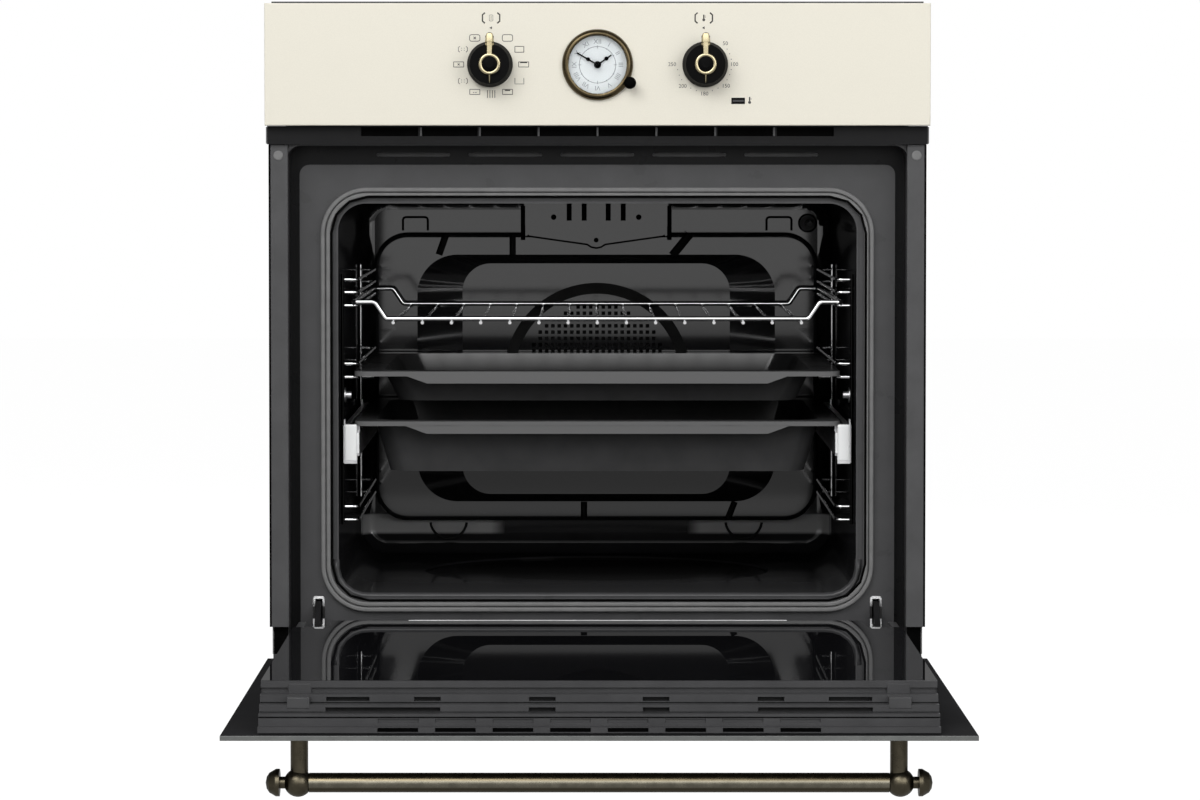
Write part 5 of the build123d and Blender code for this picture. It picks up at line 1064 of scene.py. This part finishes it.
class OVEN_OT_clock(bpy.types.Operator):
    """Model the rounded bezel of the clock and print its dial"""

    bl_idname = "oven.clock"
    bl_label = "Clock"

    axis_z = 540.0
    dial_y = -20.2
    bezel = (
        (31.75, -22.0), (31.75, -23.4), (31.35, -24.9), (30.3, -26.4), (28.9, -27.35),
        (27.5, -27.6), (26.3, -27.15), (25.9, -26.6), (25.9, -26.3), (26.9, -26.25),
        (26.9, -15.0), (27.8, -15.0), (27.8, -22.0),
    )
    hours = ("XII", "I", "II", "III", "IIII", "V", "VI", "VII", "VIII", "IX", "X", "XI")

    def execute(self, context):
        bm = bmesh.new()
        turned(bm, ring_of(self.bezel), on_front(0, 0, self.axis_z), steps=96)
        made_piece(
            "clock_rim", bm, "oven_body", aged_brass(), ("clock_bezel",), smooth=True,
        )
        self.print_dial(context.scene.oven_sizes.print_thickness / MM)
        return {"FINISHED"}

    def print_dial(self, thickness):
        bm = bmesh.new()
        centre = on_front(0, self.dial_y, self.axis_z)
        squash = flat(thickness, 0.5)
        circle = [
            (16.3 * math.sin(math.tau * step / 72), 16.3 * math.cos(math.tau * step / 72))
            for step in range(72)
        ]
        stamp(bm, line_mesh([(circle, True)], 0.5), centre @ squash)
        for hour, numeral in enumerate(self.hours):
            place = on_front(0, self.dial_y, self.axis_z, 30 * hour)
            inner = 14.6 if hour % 3 == 0 else 15.6
            stamp(bm, line_mesh([line((0, inner), (0, 17.2))], 0.5), place @ squash)
            up = Matrix.Translation((0, 0, 20.6 * MM))
            stamp(bm, word_mesh(numeral, 4.2, thickness), place @ up)
        made_piece("dial_print", bm, "oven_body", dial_print())


class OVEN_OT_frame_details(bpy.types.Operator):
    """Add the painted shadows along the trims and round the mouth, the covers, the painted shade inside
    the outlet, the ribs and lips of the front, and the pilot lens
    """

    bl_idname = "oven.frame_details"
    bl_label = "Front frame details"

    def execute(self, context):
        black = shadow_black()
        coats = finishes(context.scene.oven_colours)
        for side in SIDES:
            name = "left" if side < 0 else "right"
            # Painted shadow: black strips along the outer edge and over the top of each side trim.
            bm = bmesh.new()
            cuboid(bm, self.stretch(side, 293.5, 295.2), (-8.4, -0.8), (34.5, 468.5), 0.3)
            cuboid(bm, self.stretch(side, 280.0, 295.2), (-7.0, -0.8), (467.4, 469.6), 0.3)
            made_piece(f"{name}_trim_edge_shadow", bm, "oven_body", black)
            bm = bmesh.new()
            cuboid(bm, self.stretch(side, 279.2, 292.0), (-1.3, -0.8), (9.2, 34.3), 0.1)
            made_piece(f"{name}_lower_cover", bm, "oven_body", black)
            bm = bmesh.new()
            x = side * 253.3
            lips = [line((x - 3.9, 49.9), (x - 3.9, 56.6), (x + 3.9, 56.6), (x + 3.9, 49.9)),
                    line((x - 3.9, 33.0), (x - 3.9, 23.8), (x + 3.9, 23.8), (x + 3.9, 33.0))]
            stamp(bm, line_mesh(lips, 2.5), on_front(0, 25.4, 0) @ flat(0.9, 2.5))
            made_piece(f"{name}_receiver_lip", bm, "oven_body", white_and_painted_highlight())
            bm = bmesh.new()
            cuboid(bm, self.stretch(side, 295.0, 297.2), (-11.0, -2.0), (469.6, 484.6), 0.4)
            made_piece(f"{name}_outlet_cheek", bm, "oven_body", louvre_grey())
            bm = bmesh.new()
            cap = on_front(side * 286.3, -8.6, 459.0)
            turned(bm, ((0, 0), (0, -0.4), (3.6, -0.4), (4.2, 0)), cap, 32)
            made_piece(f"{name}_bush_cap", bm, "oven_body", dull_zinc())
            bm = bmesh.new()
            cuboid(bm, self.stretch(side, 292.0, 293.2), (-1.5, 0.0), (9.2, 34.3), 0.2)
            made_piece(f"{name}_lower_edge", bm, "oven_body", dull_zinc())
        # Painted shade: a black sheet inside the outlet strip, behind its slots.
        bm = bmesh.new()
        cuboid(bm, (-213.0, 213.0), (-9.4, -8.6), (475.6, 485.0), 0.2)
        made_piece("outlet_shade", bm, "oven_body", black)
        bm = bmesh.new()
        for rib in range(-3, 4):
            cuboid(bm, (52.7 * rib - 0.8, 52.7 * rib + 0.8), (-12.3, -11.2), (476.4, 484.3), 0.2)
        made_piece("outlet_ribs", bm, "oven_body", side_trim_enamel())
        bm = bmesh.new()
        for louvre in range(-2, 3):
            self.louvre_lip(bm, louvre * 83.5)
        made_piece(
            "louvre_lips", bm, "oven_body", louvre_grey(), smooth=True,
        )
        # Painted shadow: a black line round the mouth, at the gap by the door seal.
        bm = bmesh.new()
        gap = moved([outline(483.9, 366.5, 33.0)], 1.15, 238.45)
        stamp(bm, line_mesh(gap, 2.2), on_front(0, 20.35, 0) @ flat(0.6, 2.2))
        made_piece("mouth_gap", bm, "oven_body", black)
        bm = bmesh.new()
        corner = ((237.3, 92.0), (237.0, 83.0), (234.8, 74.5), (230.0, 67.4), (222.5, 61.8),
                  (214.5, 59.1), (206.0, 58.5))
        left = [(-x, z) for x, z in corner]
        sill = [line(*left, *reversed(corner))]
        stamp(bm, line_mesh(sill, 6.4), on_front(0, 25.8, 0) @ flat(0.6, 6.4))
        made_piece(
            "mouth_sill", bm, "oven_body",
            frame_enamel(context.scene.oven_colours),
        )
        bm = bmesh.new()
        cuboid(bm, (120.6, 130.6), (-23.0, -22.7), (506.9, 508.7), 0.1)
        made_piece("pilot_lens", bm, "oven_body", coats["trim_enamel"])
        return {"FINISHED"}

    def stretch(self, side, inner, outer):
        return sorted((side * inner, side * outer))

    def louvre_lip(self, bm, x):
        """Low rounded lip along a louvre, tapered to its ends."""
        sections = []
        for along, size in ((-33.4, 0.25), (-31, 0.8), (-27, 1.0), (27, 1.0), (31, 0.8), (33.4, 0.25)):
            points = ((0, -1.9), (-1.2 * size, -1.2), (-2.0 * size, 0), (-1.2 * size, 1.2), (0, 1.9))
            sections.append([
                Vector(((x + along) * MM, (34.0 + y) * MM, (459.5 + z * size) * MM))
                for y, z in points
            ])
        lofted(bm, sections)


# Door end, in the open position: d runs from the hinge to the front


HINGE_Y = -5.15
STAIR_BACK = 419.35
STAIR_HALF = 268.5
STAIR_TREADS = (421.85, 430.14, 438.43, 446.71, 455.0)


def door_point(x, d, z):
    return Vector((x * MM, (HINGE_Y - d) * MM, z * MM))


class OVEN_OT_door_end(bpy.types.Operator):
    """Model the stepped end trim of the door with its recesses, slots and clips"""

    bl_idname = "oven.door_end"
    bl_label = "Door end"

    slot_pitch = 45.2
    slot_half = 15.85
    draft = 0.2
    flush = 0.03

    def execute(self, context):
        coats = finishes(context.scene.oven_colours)
        bm = bmesh.new()
        sections = []
        cuts = self.cuts()
        for start, stop in zip(cuts, cuts[1:]):
            outline = self.section((start + stop) / 2)
            for x in (start + self.draft, stop - self.draft):
                sections.append([door_point(x, d, z) for d, z in outline])
        lofted(bm, sections)
        made_piece(
            "door_end_trim", bm, "door", coats["trim_enamel"], ("door_top_trim",),
        )
        self.shade_grooves(cuts)
        clips = (
            ("upper_clips", 422.3, 418.0, 33.2, 41.4, coats["trim_enamel"]),
            ("lower_clips", 438.9, 428.0, 24.2, 32.6, frame_enamel(context.scene.oven_colours)),
        )
        for name, front, back, low, high, finish in clips:
            bm = bmesh.new()
            for side in SIDES:
                xs = sorted((side * 228.6, side * 246.4))
                cuboid(bm, xs, (HINGE_Y - front, HINGE_Y - back), (low, high), 0.4)
            made_piece(name, bm, "door", finish)
        return {"FINISHED"}

    def cuts(self):
        """Places along the trim where its section changes."""
        places = {-STAIR_HALF, STAIR_HALF}
        for low, high in self.slots() + self.necks() + self.troughs() + self.seats():
            places |= {low, high}
        return sorted(places)

    def slots(self):
        centres = [(slot - 3.5) * self.slot_pitch for slot in range(8)]
        return [(x - self.slot_half, x + self.slot_half) for x in centres]

    def necks(self):
        return [(x - 10.4, x + 10.4) for x in (-135.9, -45.0, 45.0, 135.9)]

    def troughs(self):
        return [(side * 198.8 - 17.0, side * 198.8 + 17.0) for side in SIDES]

    def seats(self):
        return [tuple(sorted((side * 228.0, side * 247.0))) for side in SIDES]

    def shade_grooves(self, cuts):
        """Painted shade on the bottoms of the grooves, and darker painted shade in the slots."""
        shades_bm, slots_bm = bmesh.new(), bmesh.new()
        for start, stop in zip(cuts, cuts[1:]):
            for step, high, low, depth in self.grooves((start + stop) / 2):
                if depth < 1.5:
                    continue
                bm, deep = (slots_bm, 2.0) if depth > 10 else (shades_bm, depth)
                floor = HINGE_Y - step + deep
                cuboid(bm, (start, stop), (floor - 0.35, floor + 0.2), (low + 0.05, high - 0.05))
        made_piece("groove_shades", shades_bm, "door", painted_shade_grey())
        made_piece("slot_shades", slots_bm, "door", shadow_black())

    def within(self, x, stretches):
        return any(low < x < high for low, high in stretches)

    def grooves(self, x):
        """Grooves at x as (tread, top, bottom, depth)."""
        seat = self.within(x, self.seats())
        slot = self.within(x, self.slots())
        neck = self.within(x, self.necks())
        trough = self.within(x, self.troughs())
        wide = trough or 147.4 < abs(x) < 182.0
        one, two, three, four, five = STAIR_TREADS
        return (
            (one, 38.3, 34.1, self.flush if seat else 3.4),
            (two, 32.0, 28.6, 4.0 if trough or neck else self.flush),
            (two, 27.9, 27.1, 2.0),
            (three, 24.9, 21.6, 4.0 if wide or neck else self.flush),
            (three, 21.5, 20.9, 2.0),
            (four, 18.7, 17.5, 4.0),
            (four, 17.0, 14.1, 1.2 if slot else self.flush),
            (five, 11.1, 7.7, 12.0 if slot else self.flush),
        )

    def section(self, x):
        """Outline of the trim at x as (d, z), from its top over its steps to its back."""
        one = STAIR_TREADS[0]
        outline = [(STAIR_BACK, 43.55), (one, 43.55)]
        for step, bottom in zip(STAIR_TREADS, (34.0, 27.0, 20.8, 11.5, 6.9)):
            if step != one:
                outline.append((step, outline[-1][1]))
            for at, high, low, depth in self.grooves(x):
                if at == step:
                    outline += [(at, high), (at - depth, high), (at - depth, low), (at, low)]
            outline.append((step, bottom))
        return outline + [(STAIR_BACK, 6.9)]


class OVEN_OT_door_glass(bpy.types.Operator):
    """Model the outer pane of the door, its ground front edge and the ledge's lip, painted white as a
    highlight
    """

    bl_idname = "oven.door_glass"
    bl_label = "Door glass"

    def execute(self, context):
        bm = bmesh.new()
        cuboid(bm, (-297.5, 297.5), (-466.0, -5.5), (1.8, 5.8), 0.5)
        made_piece("outer_pane", bm, "door", printed_glass(), ("outer_glass",))
        bm = bmesh.new()
        cuboid(bm, (-297.4, 297.4), (-467.0, -466.0), (1.85, 5.75), 0.35)
        made_piece("outer_pane_edge", bm, "door", ground_glass())
        # Painted highlight: a white strip on the ledge where a bright line of light falls.
        bm = bmesh.new()
        cuboid(bm, (-168.8, 169.2), (-34.6, -33.4), (42.3, 43.9), 0.2)
        made_piece("ledge_lip", bm, "door", white_and_painted_highlight())
        return {"FINISHED"}


class OVEN_OT_cavity_details(bpy.types.Operator):
    """Add painted shadows round the tabs and the bracket, painted shade on the fan cover, the bracket
    apron, runner caps and the lip of the deep tray
    """

    bl_idname = "oven.cavity_details"
    bl_label = "Cavity details"

    tabs = ((-194.5, -169.5), (171.6, 196.7))
    # Dark streaks painted on the fan cover as painted reflections: start, stop and width in mm.
    shade_streaks = (
        ((-150.2, 379.2), (-157.4, 358.8), 7.0), ((-83.6, 378.0), (-83.6, 358.8), 6.4),
        ((93.6, 379.2), (76.2, 358.0), 8.6), ((-12.2, 111.0), (-12.2, 93.6), 6.4),
        ((132.0, 93.6), (139.0, 111.0), 6.4),
    )

    def execute(self, context):
        black = shadow_black()
        # Painted shadows: black outlines round the tabs on the back wall and a black ring beside them.
        bm = bmesh.new()
        for low, high in self.tabs:
            strokes = [line((low, 382.5), (low, 393.4), (low + 0.8, 395.2), (low + 2.8, 396.0),
                            (high - 2.8, 396.0), (high - 0.8, 395.2), (high, 393.4),
                            (high, 382.5))]
            stamp(bm, line_mesh(strokes, 2.3), on_front(0, 416.7, 0) @ flat(0.5, 2.3))
        turned(
            bm, ring_of(((7.9, 0), (7.9, -1.2), (9.6, -1.2), (9.6, 0))),
            on_front(213.0, 418.0, 390.0),
        )
        made_piece("tab_painted_shadows", bm, "oven_body", black)
        # Painted shade on the fan cover: dark streaks as painted reflections, a dark ring on the slopes of
        # its groove and the shaded lower halves of its bosses.
        bm = bmesh.new()
        for start, stop, width in self.shade_streaks:
            stamp(bm, line_mesh([line(start, stop)], width), on_front(0, 392.0, 0) @ flat(0.5, width))
        turned(
            bm, ring_of(((82.5, 0), (82.5, -0.4), (93.4, -0.4), (93.4, 0))),
            on_front(0.8, 385.8, 237.5), 96,
        )
        for side in SIDES:
            arc = [(148.0 * side + 18.2 * math.sin(math.radians(turn)),
                    92.0 - 18.2 * math.cos(math.radians(turn))) for turn in range(-84, 85, 12)]
            stamp(bm, line_mesh([line(*arc)], 2.6), on_front(0, 391.8, 0) @ flat(0.8, 2.6))
        made_piece("cover_painted_shades", bm, "oven_body", painted_shade_grey())
        # Painted shadows of the bracket: a black line along its folded lower edge, a black hole, black
        # bands at its sides and a black plate behind its slots.
        bm = bmesh.new()
        fold = [line((-68.5, 378.6), (-67.0, 377.4), (-9.0, 369.2), (-5.0, 366.6), (0.0, 365.6),
                     (5.0, 366.6), (9.0, 369.2), (67.0, 377.4), (68.5, 378.6))]
        stamp(bm, line_mesh(fold, 1.8), on_front(0, 385.6, 0) @ flat(0.8, 1.8))
        turned(bm, ((0, 0), (0, -0.3), (2.4, -0.3), (2.4, 0)), on_front(0, 385.7, 373.6), 24)
        for side in SIDES:
            cuboid(bm, sorted((side * 71.0, side * 75.4)), (386.0, 391.9), (373.6, 408.0), 0.4)
        cuboid(bm, (-50.0, 50.0), (388.2, 389.2), (389.5, 408.0), 0.3)
        made_piece("bracket_painted_shadows", bm, "oven_body", black)
        bm = bmesh.new()
        lower = [(-70.8, 388.6), (-70.8, 378.0), (-9.0, 369.4), (-4.5, 366.6), (4.5, 366.6),
                 (9.0, 369.4), (70.8, 378.0), (70.8, 388.6)]
        for y in (385.7, 386.5):
            bm.faces.new([bm.verts.new(Vector((x, y, z)) * MM) for x, z in lower])
        bmesh.ops.bridge_loops(bm, edges=bm.edges[:])
        made_piece(
            "bracket_apron", bm, "oven_body",
            cavity_enamel(context.scene.oven_colours),
        )
        bm = bmesh.new()
        for side in SIDES:
            xs = sorted((side * 218.8, side * 230.6))
            cuboid(bm, xs, (37.4, 42.8), (180.0, 213.9), 1.6)
            xs = sorted((side * 217.0, side * 219.4))
            cuboid(bm, xs, (38.4, 42.8), (187.5, 206.0), 0.6)
        made_piece("runner_caps", bm, "deep", white_and_painted_highlight())
        # The deep tray's lip carries the tray enamel's painted highlight.
        bm = bmesh.new()
        lip = [(-176.0, 213.0), (-155.5, 205.4), (155.5, 205.4), (176.0, 213.0)]
        for y in (38.0, 39.0):
            ring = [bm.verts.new(Vector((x, y, z)) * MM) for x, z in lip]
            bm.faces.new(ring)
        bmesh.ops.bridge_loops(bm, edges=bm.edges[:])
        made_piece(
            "deep_tray_lip", bm, "deep",
            tray_enamel("deep tray enamel", 0.040, 0.004, 0.2),
        )
        return {"FINISHED"}


class OVEN_OT_stage(bpy.types.Operator):
    """Lay the floor, light the room and place the camera"""

    bl_idname = "oven.stage"
    bl_label = "Stage"

    def execute(self, context):
        stage = context.scene.oven_stage
        self.lay_floor(stage)
        self.light_room(context.scene, stage)
        self.place_camera(context.scene)
        return {"FINISHED"}

    def lay_floor(self, stage):
        mesh = bpy.data.meshes.new("floor")
        bm = bmesh.new()
        bmesh.ops.create_grid(bm, x_segments=1, y_segments=1, size=12.0)
        bmesh.ops.translate(bm, verts=bm.verts, vec=(0, 0, -stage.floor_drop))
        bm.to_mesh(mesh)
        bm.free()
        floor = bpy.data.objects.new("floor", mesh)
        bpy.context.collection.objects.link(floor)
        mesh.materials.append(self.floor_paint())

    def floor_paint(self):
        material = bpy.data.materials.new("floor paint")
        material.use_nodes = True
        tree = material.node_tree
        shader = tree.nodes["Principled BSDF"]
        shader.inputs["Base Color"].default_value = (0.22, 0.22, 0.22, 1.0)
        shader.inputs["Roughness"].default_value = 0.9
        shader.inputs["Specular IOR Level"].default_value = 0.0
        shader.inputs["Emission Color"].default_value = (1, 1, 1, 1)
        path = tree.nodes.new("ShaderNodeLightPath")
        direct = tree.nodes.new("ShaderNodeMath")
        direct.operation = "MAXIMUM"
        mirrored = tree.nodes.new("ShaderNodeMath")
        mirrored.operation = "MULTIPLY"
        mirrored.inputs[1].default_value = 0.25
        seen = tree.nodes.new("ShaderNodeMath")
        seen.operation = "MAXIMUM"
        strength = tree.nodes.new("ShaderNodeMath")
        strength.operation = "MULTIPLY"
        strength.inputs[1].default_value = 0.88
        link = tree.links.new
        link(path.outputs["Is Camera Ray"], direct.inputs[0])
        link(path.outputs["Is Transmission Ray"], direct.inputs[1])
        link(direct.outputs[0], seen.inputs[0])
        link(path.outputs["Is Glossy Ray"], mirrored.inputs[0])
        link(mirrored.outputs[0], seen.inputs[1])
        link(seen.outputs[0], strength.inputs[0])
        link(strength.outputs[0], shader.inputs["Emission Strength"])
        return material

    def light_room(self, scene, stage):
        """White room in front of the oven that reflections see fading towards its back."""
        world = bpy.data.worlds.new("room")
        scene.world = world
        world.use_nodes = True
        tree = world.node_tree
        background = tree.nodes["Background"]
        background.inputs["Color"].default_value = (1, 1, 1, 1)
        path = tree.nodes.new("ShaderNodeLightPath")
        way = tree.nodes.new("ShaderNodeTexCoord")
        parts = tree.nodes.new("ShaderNodeSeparateXYZ")
        fade = tree.nodes.new("ShaderNodeMapRange")
        fade.inputs["From Min"].default_value = -0.95
        fade.inputs["From Max"].default_value = -0.35
        fade.inputs["To Min"].default_value = 1.0
        fade.inputs["To Max"].default_value = stage.dim_room
        mirrored = tree.nodes.new("ShaderNodeMix")
        mirrored.inputs["A"].default_value = stage.sky
        clear = tree.nodes.new("ShaderNodeMath")
        clear.operation = "MAXIMUM"
        strength = tree.nodes.new("ShaderNodeMix")
        strength.inputs["B"].default_value = 1.0
        link = tree.links.new
        link(way.outputs["Generated"], parts.inputs[0])
        link(parts.outputs["Y"], fade.inputs["Value"])
        link(path.outputs["Is Glossy Ray"], mirrored.inputs["Factor"])
        link(fade.outputs["Result"], mirrored.inputs["B"])
        link(path.outputs["Is Camera Ray"], clear.inputs[0])
        link(path.outputs["Is Transmission Ray"], clear.inputs[1])
        link(clear.outputs[0], strength.inputs["Factor"])
        link(mirrored.outputs["Result"], strength.inputs["A"])
        link(strength.outputs["Result"], background.inputs["Strength"])
        lamps = (
            ("key", (-1.2, -2.6, 2.4), (2.4, 1.6), stage.key_power),
            ("fill", (1.8, -2.4, 1.2), (1.4, 1.8), stage.fill_power),
            ("rear", (1.4, 2.8, 2.2), (1.8, 1.2), stage.rear_power),
            ("card", (0, -3.8, 1.55), (3.6, 1.6), stage.card_power),
        )
        for name, place, (width, height), power in lamps:
            light = bpy.data.lights.new(name, "AREA")
            light.shape = "RECTANGLE"
            light.size = width
            light.size_y = height
            light.energy = power
            lamp = bpy.data.objects.new(name, light)
            bpy.context.collection.objects.link(lamp)
            lamp.location = place
            aim = Vector((0, 0.1, 0.3)) - Vector(place)
            lamp.rotation_euler = aim.to_track_quat("-Z", "Y").to_euler()

    def place_camera(self, scene):
        camera = bpy.data.cameras.new("camera")
        camera.sensor_width = 36.0
        camera.lens = 116.479
        camera.shift_x = 0.01253
        camera.shift_y = -0.09852
        camera.clip_end = 100.0
        eye = bpy.data.objects.new("camera", camera)
        bpy.context.collection.objects.link(eye)
        eye.location = (-0.01123, -3.493, 0.46735)
        eye.rotation_euler = (math.radians(88), 0, 0)
        scene.camera = eye


class OVEN_PT_panel(bpy.types.Panel):
    """Buttons for the oven's finishes, pieces and stage"""

    bl_idname = "OVEN_PT_panel"
    bl_label = "Built-in oven"
    bl_space_type = "VIEW_3D"
    bl_region_type = "UI"
    bl_category = "Oven"

    def draw(self, context):
        for operator in OPERATORS:
            self.layout.operator(operator.bl_idname)


OPERATORS = (
    OVEN_OT_finishes,
    OVEN_OT_pointers,
    OVEN_OT_panel_marks,
    OVEN_OT_clock,
    OVEN_OT_frame_details,
    OVEN_OT_door_end,
    OVEN_OT_door_glass,
    OVEN_OT_cavity_details,
    OVEN_OT_stage,
)
CLASSES = (OvenColours, OvenSizes, OvenStage, *OPERATORS, OVEN_PT_panel)


def register():
    for cls in CLASSES:
        bpy.utils.register_class(cls)
    bpy.types.Scene.oven_colours = PointerProperty(type=OvenColours)
    bpy.types.Scene.oven_sizes = PointerProperty(type=OvenSizes)
    bpy.types.Scene.oven_stage = PointerProperty(type=OvenStage)


def unregister():
    del bpy.types.Scene.oven_stage
    del bpy.types.Scene.oven_sizes
    del bpy.types.Scene.oven_colours
    for cls in reversed(CLASSES):
        bpy.utils.unregister_class(cls)


def main():
    register()
    for operator in OPERATORS:
        module, name = operator.bl_idname.split(".")
        getattr(getattr(bpy.ops, module), name)()
    bpy.context.scene.view_settings.view_transform = "Standard"


if __name__ == "__main__":
    main()
